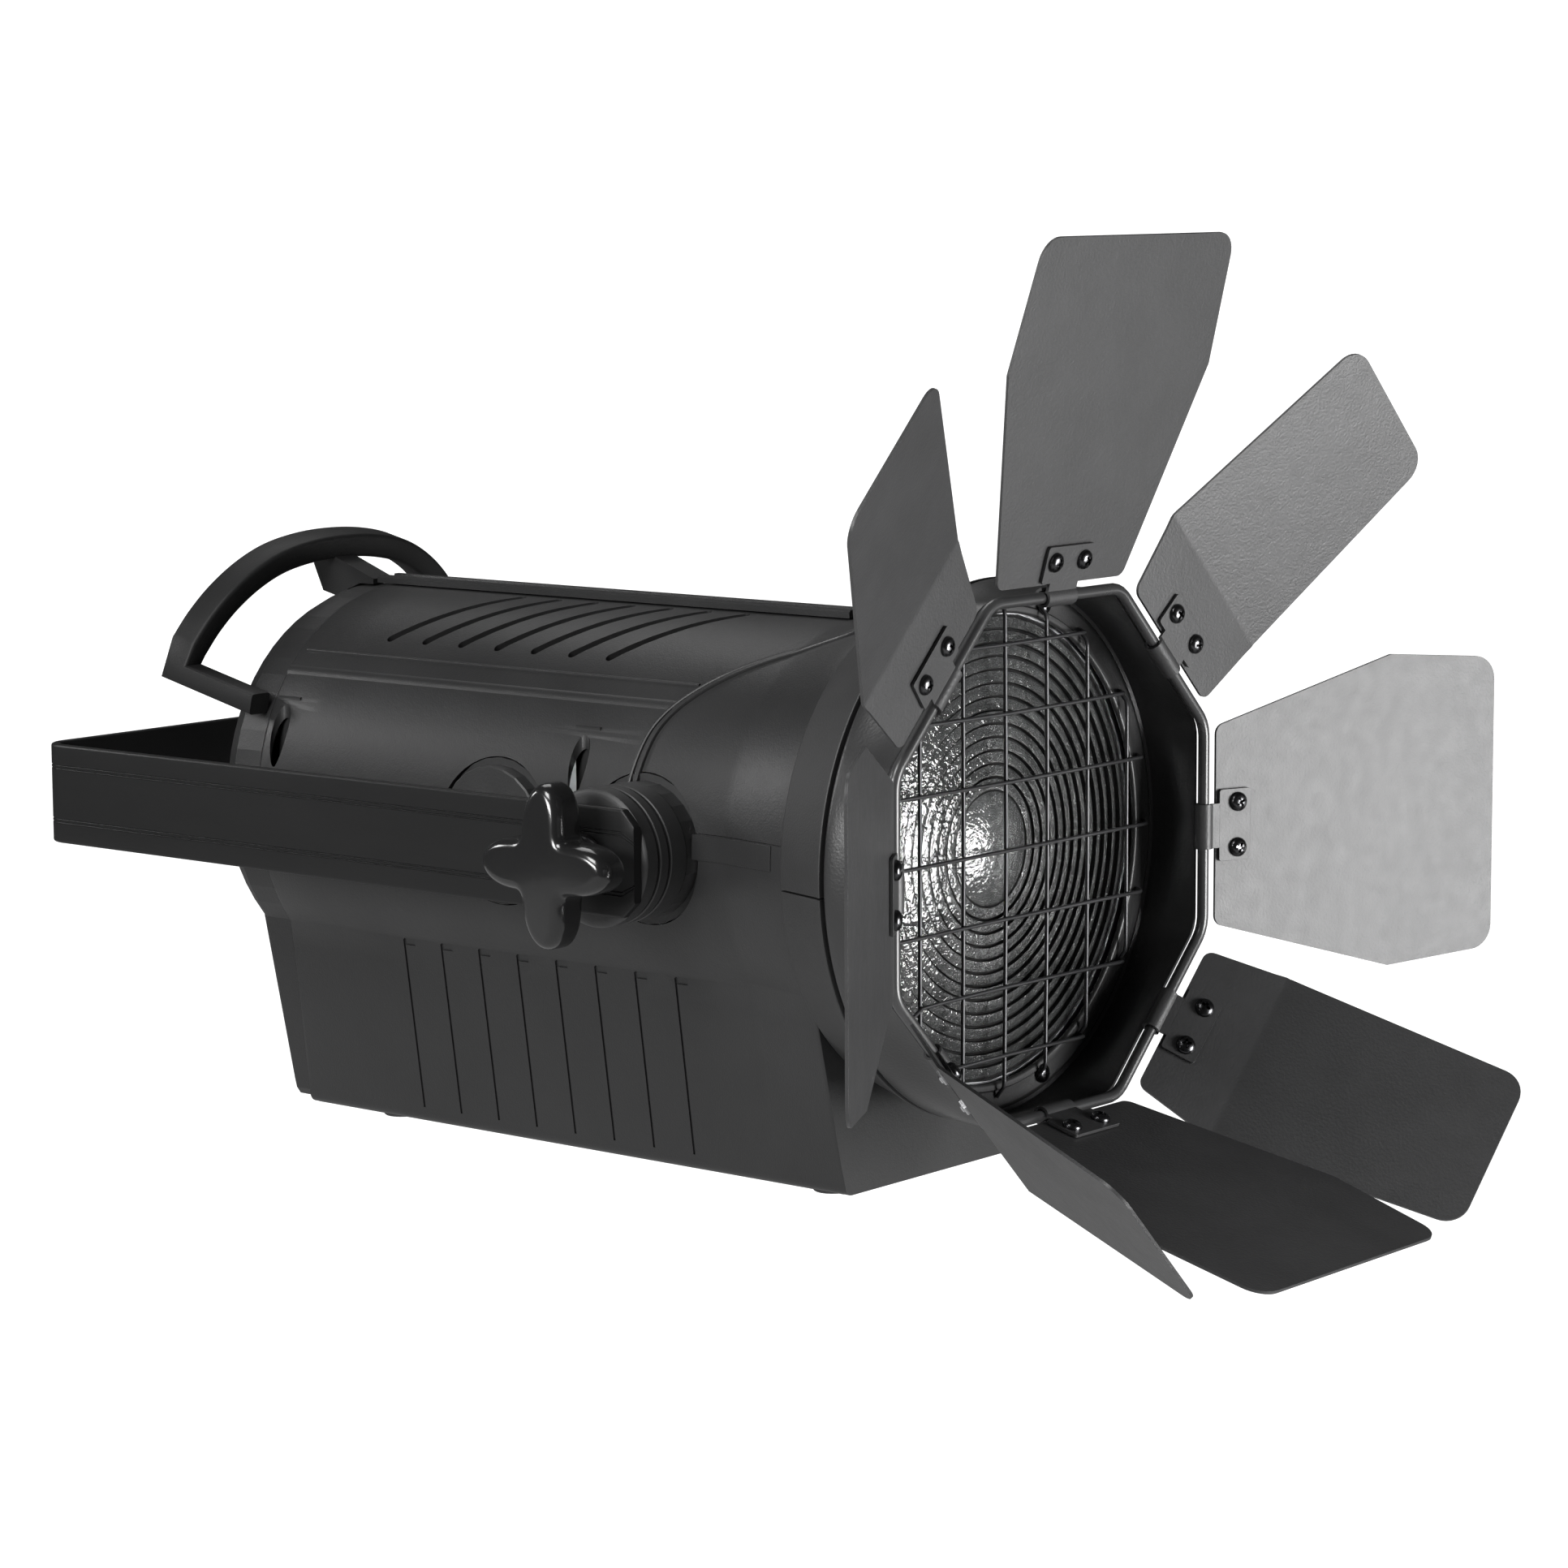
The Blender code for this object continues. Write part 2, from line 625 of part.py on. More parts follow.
def fan_rotor():
    """Hub with seven swept blades."""
    profile = [(0.0, 0.2495), (0.0150, 0.2495), (0.0150, 0.2592), (0.0, 0.2592)]
    rotor = add_object("fan_rotor", turned("fan_rotor", profile, "Y", (0, 0, AXIS_Z), 20), BLACK, 0.0, 0.4,
                       (0, 0.2540, AXIS_Z))
    blades = []
    for i in range(7):
        base = 2 * math.pi * i / 7
        rings = []
        for radius in (0.0130, 0.0240, 0.0365):
            ring = []
            for turn, y in ((-0.26, 0.2500), (-0.20, 0.2500), (0.26, 0.2586), (0.20, 0.2586)):
                angle = base + turn * (1.0 if radius > 0.02 else 1.3)
                ring.append((radius * math.cos(angle), y, AXIS_Z + radius * math.sin(angle)))
            rings.append(ring)
        blades.append(loft("blade", rings))
    cut(rotor, merged("blades", blades), "UNION")


def focus_drive():
    """Lead screw through the carriage plate, ending in a knob behind the cover."""
    pivot = (0, 0.3800, AXIS_Z + SCREW_Z)
    profile = [(0.0, 0.0615), (0.0034, 0.0615), (0.0040, 0.0620), (0.0040, 0.3780), (0.0, 0.3780)]
    mesh = turned("focus_screw", profile, "Y", (0, 0, AXIS_Z + SCREW_Z), 16)
    add_object("focus_screw", mesh, STEEL, 1.0, 0.3, pivot)
    add_object("focus_knob", fluted_knob("focus_knob", pivot, 0.0130, 0.0110, 0.3783, 0.3960), BLACK, 0.0,
               0.35, pivot)


def fluted_knob(name, centre, crest, root, front, back, flutes=10):
    rings = []
    for y, shrink in ((front, 0.9), (front + 0.001, 1.0), (back - 0.002, 0.97), (back, 0.84)):
        ring = []
        for i in range(flutes * 3):
            angle = 2 * math.pi * i / (flutes * 3)
            radius = (root + (crest - root) * (0.5 + 0.5 * math.cos(flutes * angle))) * shrink
            ring.append((centre[0] + radius * math.cos(angle), y, centre[2] + radius * math.sin(angle)))
        rings.append(ring)
    return loft(name, rings)


def controls():
    """Dimmer knob, rocker switch and mains inlet in the rear cover."""
    pivot = (0.030, 0.3760, AXIS_Z - 0.010)
    knob = fluted_knob("dimmer_knob", pivot, 0.0100, 0.0088, 0.3733, 0.3860, 8)
    obj = add_object("dimmer_knob", knob, BLACK, 0.0, 0.4, pivot)
    cut(obj, rod("dimmer_shaft", "Y", (0.030, 0, AXIS_Z - 0.010), 0.0034, 0.3620, 0.3750, 16), "UNION")
    cut(obj, box("dimmer_pointer", (0.0294, 0.3850, AXIS_Z - 0.0055), (0.0306, 0.3880, AXIS_Z + 0.003)))
    tilt = [(0.3648, -0.0164), (0.3705, -0.0166), (0.3752, -0.0166), (0.3722, -0.0100), (0.3728, -0.0034),
            (0.3705, -0.0034), (0.3648, -0.0036)]
    rings = [[(x, y, AXIS_Z + z) for y, z in tilt] for x in (-0.0393, -0.0207)]
    add_object("power_switch", loft("power_switch", rings), BLACK, 0.0, 0.35,
               (-0.030, 0.3690, AXIS_Z - 0.010))
    shell = box("mains_inlet", (-0.0140, 0.3460, AXIS_Z - 0.1140), (0.0140, 0.3645, AXIS_Z - 0.0930))
    inlet = add_object("mains_inlet", shell, BLACK, 0.0, 0.4)
    cut(inlet, box("inlet_room", (-0.0118, 0.3500, AXIS_Z - 0.1118), (0.0118, 0.3700, AXIS_Z - 0.0952)))
    cut(inlet, merged("pins", [
        box("pin", (x - 0.001, 0.3480, AXIS_Z + z - 0.002), (x + 0.001, 0.3610, AXIS_Z + z + 0.002))
        for x, z in ((-0.007, -0.1055), (0.0, -0.1015), (0.007, -0.1055))
    ]), "UNION")


# ---------------------------------------------------------------- yoke and tilt knobs


def yoke():
    """Flat bar with two pairs of fine grooves, bent to a U, with chamfered ends."""
    t = YOKE_T / 2
    h = YOKE_H / 2
    g = 0.0006
    grooved = [(-t + 0.0006, -h), (t - 0.0006, -h), (t, -h + 0.0008)]
    for z in (-0.0118, 0.0118):
        grooved += [(t, z - 0.0006), (t - g, z - 0.0003), (t - g, z + 0.0003), (t, z + 0.0006)]
    grooved += [(t, h - 0.0008), (t - 0.0006, h), (-t + 0.0006, h), (-t, h - 0.0008), (-t, -h + 0.0008)]
    x0 = YOKE_HALF - t
    y1 = YOKE_BACK - t
    bend = 0.010
    half_path = [((x0, YOKE_FRONT), (1, 0), 0.70), ((x0, YOKE_FRONT + 0.0062), (1, 0), 1.0)]
    for i in range(5):
        turn = math.radians(90 * i / 4)
        centre = (x0 - bend + bend * math.cos(turn), y1 - bend + bend * math.sin(turn))
        half_path.append((centre, (math.cos(turn), math.sin(turn)), 1.0))
    path = half_path + [((-x, y), (-a, b), s) for (x, y), (a, b), s in reversed(half_path)]
    rings = []
    for (x, y), (a, b), share in path:
        rings.append([(x + a * off, y + b * off, AXIS_Z + z * share) for off, z in grooved])
    pivot = (0, PIVOT_Y, AXIS_Z)
    bar = add_object("yoke_bar", loft("yoke_bar", rings), BLACK, 0.0, 0.45, pivot)
    holes = [rod("hole", "X", pivot, 0.0053, -0.130, 0.130, 28)]
    holes.append(rod("hole", "Y", (0, 0, AXIS_Z), 0.0062, 0.430, 0.460, 28))
    holes += [rod("hole", "Y", (x, 0, AXIS_Z), 0.0044, 0.430, 0.460, 20) for x in (-0.045, 0.045)]
    cut(bar, merged("yoke_holes", holes))
    for name, side in (("yoke_disc_left", -1), ("yoke_disc_right", 1)):
        profile = [(0.0053, 0.0889), (0.0268, 0.0889), (0.0268, 0.0978), (0.0240, 0.0978), (0.0240, 0.0992),
                   (0.0268, 0.0992), (0.0268, 0.1040), (0.0240, 0.1040), (0.0240, 0.1056), (0.0268, 0.1056),
                   (0.0268, 0.1122), (0.0261, 0.1127), (0.0053, 0.1127)]
        mesh = turned(name, [(r, side * x) for r, x in profile], "X", (0, PIVOT_Y, AXIS_Z), 24)
        add_object(name, mesh, BLACK, 0.0, 0.5, pivot)


def tilt_knobs():
    """Four-lobe knobs, domed towards the outside, with the stud that clamps the yoke."""
    stations = ((0.1195, 0.36, 0.0), (0.1262, 0.42, 0.2), (0.1290, 0.85, 1.0), (0.1335, 1.0, 1.0),
                (0.1400, 0.97, 1.0), (0.1446, 0.78, 0.9), (0.1466, 0.36, 0.6))
    for name, side in (("tilt_knob_left", -1), ("tilt_knob_right", 1)):
        rings = []
        for x, size, lobed in stations:
            ring = []
            for i in range(36):
                angle = 2 * math.pi * i / 36 + math.radians(3)
                lobe = (0.5 + 0.5 * math.cos(4 * angle)) ** 1.35
                radius = size * (0.0318 * (1 - lobed) * 0.9 + lobed * (0.0152 + 0.0168 * lobe))
                ring.append((side * x, PIVOT_Y + radius * math.cos(angle), AXIS_Z + radius * math.sin(angle)))
            rings.append(ring)
        pivot = (side * 0.1305, PIVOT_Y, AXIS_Z)
        knob = add_object(name, loft(name, rings), (0.01, 0.01, 0.01), 0.0, 0.12, pivot)
        stud = [(0.0, side * 0.0740), (0.0046, side * 0.0740), (0.0050, side * 0.0746),
                (0.0050, side * 0.1215), (0.0, side * 0.1215)]
        cut(knob, turned("stud", stud, "X", (0, PIVOT_Y, AXIS_Z), 20), "UNION")
        washer = [(0.0, side * 0.1174), (0.0095, side * 0.1174), (0.0095, side * 0.1199),
                  (0.0, side * 0.1199)]
        cut(knob, turned("washer", washer, "X", (0, PIVOT_Y, AXIS_Z), 20), "UNION")


# ---------------------------------------------------------------- barn door


def octagon_radius(angle, flats, corner):
    """Distance to an octagon's edge, with its corners eased to a circle."""
    turn = (angle + math.pi / 8) % (math.pi / 4) - math.pi / 8
    return min(flats / 2 / math.cos(turn), corner)


def hood():
    """Sheet hood: octagonal at the front, round at the rear, with a flange that looks onto the lens."""
    count = 48
    rows = (
        (0.0042, 0.2016, 0.1082, 0.0), (0.0130, 0.0, 0.0, 0.1050), (0.0285, 0.0, 0.0, 0.1063), (0.0300, 0.0,
                                                                                                0.0, 0.1058),
        (0.0300, 0.0, 0.0, 0.0915), (0.0284, 0.0, 0.0, 0.0915), (0.0284, 0.0, 0.0, 0.1045), (0.0130, 0.0,
                                                                                             0.0, 0.1034),
        (0.0042, 0.1986, 0.1066, 0.0),
    )
    rings = []
    for y, flats, corner, radius in rows:
        ring = []
        for i in range(count):
            angle = 2 * math.pi * (i + 0.5) / count
            r = octagon_radius(angle, flats, corner) if flats else radius
            if y == 0.0130:
                r = 0.5 * (r + octagon_radius(angle, 0.2016 if radius > 0.104 else 0.1986,
                                              0.1075 if radius > 0.104 else 0.1060))
            ring.append((r * math.cos(angle), y, AXIS_Z + r * math.sin(angle)))
        rings.append(ring)
    return add_object("barn_hood", loft("barn_hood", rings, closed=True), BLACK, 0.0, 0.5, (0, 0, AXIS_Z))


def rim_wire():
    """Eight-sided wire that the leaves hinge on, with eased corners."""
    apothem = RIM_FLATS / 2
    corner = apothem / math.cos(math.pi / 8)
    path = []
    for k in range(8):
        mid = math.pi / 4 * k + math.pi / 8
        for off in (-0.0105, -0.0038, 0.0038, 0.0105):
            reach = corner - {0.0105: 0.0, 0.0038: 0.0011}[abs(off)]
            inward = abs(off) * math.sin(math.pi / 8)
            along = abs(off) * math.cos(math.pi / 8)
            r = reach - inward
            t = math.copysign(along, off)
            path.append((r * math.cos(mid) - t * math.sin(mid), r * math.sin(mid) + t * math.cos(mid)))
    rings = []
    for i, (x, z) in enumerate(path):
        before = path[i - 1]
        after = path[(i + 1) % len(path)]
        run = Vector((after[0] - before[0], 0, after[1] - before[1])).normalized()
        out = Vector((0, 1, 0)).cross(run)
        ring = []
        for j in range(8):
            a = 2 * math.pi * j / 8
            spoke = out * math.cos(a) + Vector((0, 1, 0)) * math.sin(a)
            ring.append(Vector((x, 0, AXIS_Z + z)) + spoke * WIRE_R)
        rings.append(ring)
    return add_object("rim_wire", loft("rim_wire", rings, closed=True), BLACK, 0.0, 0.3, (0, 0, AXIS_Z))


def wire_guard():
    """Flat lattice across the opening, in front of the lens."""
    pitch = 0.0269
    half = 0.0008
    limit = 0.0985
    lines = [pitch * i for i in range(-3, 4)]
    marks = sorted([v + s * half for v in lines for s in (-1, 1)] + [-limit, limit])
    points = []
    faces = []
    index = {}

    def corner(x, z):
        key = (round(x, 6), round(z, 6))
        if key not in index:
            index[key] = len(points)
            points.append((x, 0.0232, AXIS_Z + z))
        return index[key]

    def reach(v):
        return math.sqrt(limit**2 - (abs(v) + half) ** 2)

    grid = sorted(set(marks + [s * reach(v) for v in lines for s in (-1, 1)]))
    for x0, x1 in zip(grid, grid[1:]):
        for z0, z1 in zip(grid, grid[1:]):
            mx, mz = (x0 + x1) / 2, (z0 + z1) / 2
            upright = [v for v in lines if abs(mx - v) < half and abs(mz) < reach(v)]
            level = [v for v in lines if abs(mz - v) < half and abs(mx) < reach(v)]
            if upright or level:
                faces.append((corner(x0, z0), corner(x1, z0), corner(x1, z1), corner(x0, z1)))
    mesh = bpy.data.meshes.new("wire_guard")
    mesh.from_pydata(points, [], faces)
    bm = bmesh.new()
    bm.from_mesh(mesh)
    made = bmesh.ops.extrude_face_region(bm, geom=list(bm.faces))
    moved = [v for v in made["geom"] if isinstance(v, bmesh.types.BMVert)]
    bmesh.ops.translate(bm, verts=moved, vec=(0, 0.0016, 0))
    bmesh.ops.dissolve_limit(bm, angle_limit=0.01, verts=bm.verts, edges=bm.edges)
    bmesh.ops.recalc_face_normals(bm, faces=bm.faces)
    bm.to_mesh(mesh)
    bm.free()
    return add_object("wire_guard", mesh, STEEL, 1.0, 0.3, (0, 0, AXIS_Z))


class LeafFrame:
    """Maps a leaf's own coordinates (along the hinge, outward, off the plate) to the world."""

    def __init__(self, place, opening, fold=0.0):
        a = math.radians(place)
        self.normal = Vector((math.cos(a), 0, math.sin(a)))
        self.along = Vector((-math.sin(a), 0, math.cos(a)))
        self.hinge = Vector((0, 0, AXIS_Z)) + self.normal * RIM_FLATS / 2
        self.flat = self.directions(opening)
        self.bent = self.directions(opening + fold)
        self.fold = fold

    def directions(self, opening):
        t = math.radians(opening)
        ahead = Vector((0, -1, 0))
        out = self.normal * math.sin(t) + ahead * math.cos(t)
        off = self.normal * math.cos(t) - ahead * math.sin(t)
        return out, off

    def point(self, u, v, h, folded=False):
        out, off = self.flat
        base = self.hinge + self.along * u
        if not folded or v < FOLD_V - 1e-6:
            return base + out * v + off * h
        out2, off2 = self.bent
        mitre = (off + off2).normalized() / math.cos(math.radians(self.fold) / 2)
        if v < FOLD_V + 1e-6:
            return base + out * v + mitre * h
        return base + out * FOLD_V + out2 * (v - FOLD_V) + off2 * h


def leaf(name, place, opening, is_corner):
    frame = LeafFrame(place, opening, FOLD_DEG if is_corner else 0.0)
    rings = []
    for v, half in (CORNER_LEAF if is_corner else WIDE_LEAF):
        rings.append([frame.point(u, v, h, is_corner) for u, h in
                      ((-half, -LEAF_T / 2), (half, -LEAF_T / 2), (half, LEAF_T / 2), (-half, LEAF_T / 2))])
    obj = add_object(f"leaf_{name}", loft(f"leaf_{name}", rings), BLACK, 0.0, 0.5, frame.hinge)
    holes = []
    for u in (-BOLT_U, BOLT_U):
        holes.append(leaf_turned(frame, [(0.0, -0.003), (0.0023, -0.003), (0.0023, 0.003), (0.0, 0.003)], u,
                                 8))
    cut(obj, merged("leaf_holes", holes))
    return frame


def leaf_turned(frame, profile, u, steps):
    """A turned shape standing on the leaf at a bolt position: pairs of radius and height off the plate."""
    out, off = frame.flat
    centre = frame.hinge + frame.along * u + out * BOLT_V
    points = []
    rows = profile[1:-1]
    for i in range(steps):
        a = 2 * math.pi * i / steps
        spoke = frame.along * math.cos(a) + out * math.sin(a)
        points += [centre + spoke * r + off * h for r, h in rows]
    faces = []
    count = len(rows)
    for i in range(steps):
        a = i * count
        b = ((i + 1) % steps) * count
        faces += [(a + j, a + j + 1, b + j + 1, b + j) for j in range(count - 1)]
    first = len(points)
    points += [centre + off * profile[0][1], centre + off * profile[-1][1]]
    for i in range(steps):
        a = i * count
        b = ((i + 1) % steps) * count
        faces += [(a, b, first), (a + count - 1, first + 1, b + count - 1)]
    return mesh_of("bolt", points, faces)


def clip(name, frame):
    """Hinge clip: a tongue curled round the wire, a plate on the leaf's inner face, two screws and nuts."""
    outer = [(0.0038 * math.cos(a), 0.0038 * math.sin(a)) for a in
             [math.radians(-33.5 - 306.5 * i / 9) for i in range(10)]]
    inner = [(0.0026 * math.cos(a), 0.0026 * math.sin(a)) for a in
             [math.radians(-340.0 + 319.7 * i / 9) for i in range(10)]]
    profile = [(0.0100, -0.0021)] + outer + inner + [(0.0100, -0.0009)]
    rings = [[frame.point(u, v, h) for v, h in profile] for u in (-0.009, 0.009)]
    obj = add_object(f"clip_{name}", loft(f"clip_{name}", rings), BLACK, 0.0, 0.4, frame.hinge)
    flat = [[frame.point(u, v, h) for v, h in ((0.0066, -0.0021), (0.0212, -0.0021), (0.0212, -0.0009),
                                               (0.0066, -0.0009))]
            for u in (-0.0145, 0.0145)]
    cut(obj, loft("clip_plate", flat), "UNION")
    bolt = [(0.0, -0.0045), (0.0031, -0.0040), (0.0039, -0.0027), (0.0039, -0.0015), (0.0019, -0.0015),
            (0.0019, 0.0009), (0.0036, 0.0009), (0.0036, 0.0031), (0.0, 0.0031)]
    cut(obj, merged("bolts", [leaf_turned(frame, bolt, u, 6) for u in (-BOLT_U, BOLT_U)]), "UNION")


def barn_door():
    hood()
    rim_wire()
    wire_guard()
    for name, place, opening, is_corner in LEAVES:
        frame = leaf(name, place, opening, is_corner)
        clip(name, frame)


upper_shell()
lower_shell()
front_collar()
lens()
lens_ring()
top_rail()
rear_cover()
carry_handle()
base_plate()
feet()
pivot_blocks()
guide_rods()
power_supply()
carriage()
fan_rotor()
focus_drive()
controls()
yoke()
tilt_knobs()
barn_door()
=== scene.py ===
"""Visual model of the fresnel spotlight, built around its CAD frame. Metres, +Z up, lens towards -Y."""

import math

import bmesh
import bpy
from mathutils import Matrix, Vector


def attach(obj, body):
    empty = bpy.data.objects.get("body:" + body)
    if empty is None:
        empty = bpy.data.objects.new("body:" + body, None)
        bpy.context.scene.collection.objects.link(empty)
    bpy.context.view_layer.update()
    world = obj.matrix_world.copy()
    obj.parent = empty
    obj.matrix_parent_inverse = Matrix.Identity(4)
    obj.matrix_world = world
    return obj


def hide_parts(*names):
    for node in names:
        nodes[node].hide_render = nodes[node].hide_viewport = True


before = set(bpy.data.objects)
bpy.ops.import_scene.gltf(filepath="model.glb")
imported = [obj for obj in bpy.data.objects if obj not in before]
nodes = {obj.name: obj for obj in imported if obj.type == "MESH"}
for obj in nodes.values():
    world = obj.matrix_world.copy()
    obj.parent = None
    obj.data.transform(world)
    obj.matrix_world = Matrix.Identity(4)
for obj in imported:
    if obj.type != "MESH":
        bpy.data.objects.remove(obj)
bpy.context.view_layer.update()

# Depth of the rim plane, then depths and heights from the middle of the rim
RIM_Y = -0.4484
PIVOT_Y = 0.1366
SPARE_Y = 0.2140
RIM_FLATS = 0.200
LEAF_T = 0.0012
BOLT_U = 0.0092
BOLT_V = 0.0150
SHELL_R = 0.086
FRONT_R = 0.0925
SHELL_Y0 = 0.0573
CONE_Y1 = 0.094
SHELL_Y1 = 0.349
SPLIT_Z = 0.009
SHOULDER_Z = -0.0514
BOTTOM_Z = -0.1313
BOTTOM_HALF = 0.0572
SHELL_WALL = 0.0025
PIVOT_BORE_R = 0.0300
# Depth and radius of the rings that both shells are lofted through
SHELL_RINGS = (
    (0.0573, 0.0921), (0.0577, 0.0924), (0.0590, 0.0923), (0.070, None), (0.082, None), (0.0915, None),
    (0.0955, SHELL_R), (0.14, SHELL_R), (0.20, SHELL_R), (0.26, SHELL_R), (0.32, SHELL_R), (0.3470, SHELL_R),
    (0.3482, SHELL_R - 0.0004), (0.3490, SHELL_R - 0.0012),
)
LENS_FIRST = 0.0232
LENS_LAST = 0.0912
LENS_RINGS = 13
LENS_STEP = (LENS_LAST - LENS_FIRST) / LENS_RINGS
LENS_VALLEY = 0.0012
VIEW_TURN = math.radians(-50.434)
VIEW_TIP = math.radians(7.794)
VIEW_ROLL = math.radians(-0.292)
VIEW_LENS = 105.547
FLOOR_Z = -0.42
FLOOR_BEND = 0.7

scene = bpy.context.scene


def at(x, y, z):
    """A point given from the middle of the barn door's rim: y to the rear, z from the optical axis."""
    return Vector((x, y + RIM_Y, z))


# ---- camera, light and floor


def add_camera():
    """The photograph's viewpoint: turned about +Z, tipped down and slightly rolled."""
    turn, tip, roll = VIEW_TURN, VIEW_TIP, VIEW_ROLL
    back = Vector((math.sin(turn) * math.cos(tip), -math.cos(turn) * math.cos(tip), math.sin(tip)))
    right = Vector((math.cos(turn), math.sin(turn), 0))
    up = back.cross(right)
    side = right * math.cos(roll) + up * math.sin(roll)
    top = up * math.cos(roll) - right * math.sin(roll)
    data = bpy.data.cameras.new("camera")
    data.lens = VIEW_LENS
    data.sensor_width = 36.0
    data.clip_end = 50.0
    camera = bpy.data.objects.new("camera", data)
    facing = Matrix((side, top, back)).transposed().to_4x4()
    camera.matrix_world = Matrix.Translation(at(-1.4086, -1.0292, 0.2668)) @ facing
    scene.collection.objects.link(camera)
    scene.camera = camera


def softbox(name, place, aim, size, power, tall=None):
    """A rectangular soft light; place and aim are given like at()."""
    place, aim = at(*place), at(*aim)
    data = bpy.data.lights.new(name, "AREA")
    data.shape = "RECTANGLE"
    data.size = size
    data.size_y = tall or size
    data.energy = power
    lamp = bpy.data.objects.new(name, data)
    lamp.location = place
    lamp.rotation_mode = "QUATERNION"
    lamp.rotation_quaternion = (aim - place).to_track_quat("-Z", "Y")
    scene.collection.objects.link(lamp)


def plain(name, color, roughness, glow):
    mat = bpy.data.materials.new(name)
    mat.use_nodes = True
    shader = mat.node_tree.nodes["Principled BSDF"]
    put(shader, base_color=(*color, 1.0), roughness=roughness)
    put(shader, emission_color=(1, 1, 1, 1), emission_strength=glow)
    return mat


def add_floor():
    """A pale floor that curves up into a backdrop behind the object."""
    rear = 2.0
    profile = [(-4.5, FLOOR_Z), (rear, FLOOR_Z)]
    for i in range(1, 17):
        a = math.pi / 2 * i / 16
        profile.append((rear + FLOOR_BEND * math.sin(a), FLOOR_Z + FLOOR_BEND * (1 - math.cos(a))))
    profile.append((rear + FLOOR_BEND, 0.75))
    away = Vector((-math.sin(VIEW_TURN), math.cos(VIEW_TURN), 0))
    across = Vector((math.cos(VIEW_TURN), math.sin(VIEW_TURN), 0))
    points = [away * d + across * s + Vector((0, RIM_Y, z)) for d, z in profile for s in (-6, 6)]
    faces = [(2 * i, 2 * i + 1, 2 * i + 3, 2 * i + 2) for i in range(len(profile) - 1)]
    mesh = bpy.data.meshes.new("floor")
    mesh.from_pydata(points, [], faces)
    mesh.materials.append(plain("floor", (0.35, 0.35, 0.35), 0.95, 0.97))
    for polygon in mesh.polygons:
        polygon.use_smooth = True
    floor = bpy.data.objects.new("floor", mesh)
    scene.collection.objects.link(floor)
    floor.visible_glossy = False


def add_lights():
    """Softboxes round the object, and a dim card on the floor that its lower sides reflect."""
    world = bpy.data.worlds.new("world")
    world.use_nodes = True
    backdrop = world.node_tree.nodes["Background"]
    put(backdrop, color=(0.05, 0.05, 0.05, 1), strength=1.0)
    scene.world = world
    softbox("key", (0.45, -1.42, -0.20), (0, 0, 0), 0.7, 52, 0.85)
    softbox("fill", (1.10, -0.95, -0.42), (0, 0, 0), 0.8, 2, 0.5)
    softbox("side", (-1.55, 0.22, 0.48), (0, 0.08, 0), 0.7, 24, 0.4)
    softbox("back", (-0.66, 1.45, 0.50), (-0.09, 0.09, 0.02), 0.3, 4.2)
    softbox("card", (-0.9, 0.4, -0.412), (-0.9, 0.4, 1.0), 2.4, 9)
    softbox("spark", (-1.0, 0.02, 1.1), (-0.14, 0.137, 0), 0.5, 14)
    softbox("top", (0.5, 0.9, 1.5), (0, 0.2, 0), 0.9, 7)


# ---- materials


def link(tree, a, b):
    tree.links.new(a, b)


def put(node, **values):
    """Sets a node's inputs, their names written in lower case with underscores."""
    for name, value in values.items():
        node.inputs[name.replace("_", " ").title()].default_value = value


def noise(tree, coords, scale, detail=2.0, rough=0.5):
    node = tree.nodes.new("ShaderNodeTexNoise")
    put(node, scale=scale, detail=detail, roughness=rough)
    link(tree, coords, node.inputs["Vector"])
    return node.outputs["Fac"]


def remap(tree, value, low, high, to_low, to_high):
    node = tree.nodes.new("ShaderNodeMapRange")
    put(node, from_min=low, from_max=high, to_min=to_low, to_max=to_high)
    link(tree, value, node.inputs["Value"])
    return node.outputs["Result"]


def bump(tree, height, strength, distance, under=None):
    node = tree.nodes.new("ShaderNodeBump")
    put(node, strength=strength, distance=distance)
    link(tree, height, node.inputs["Height"])
    if under is not None:
        link(tree, under, node.inputs["Normal"])
    return node.outputs["Normal"]


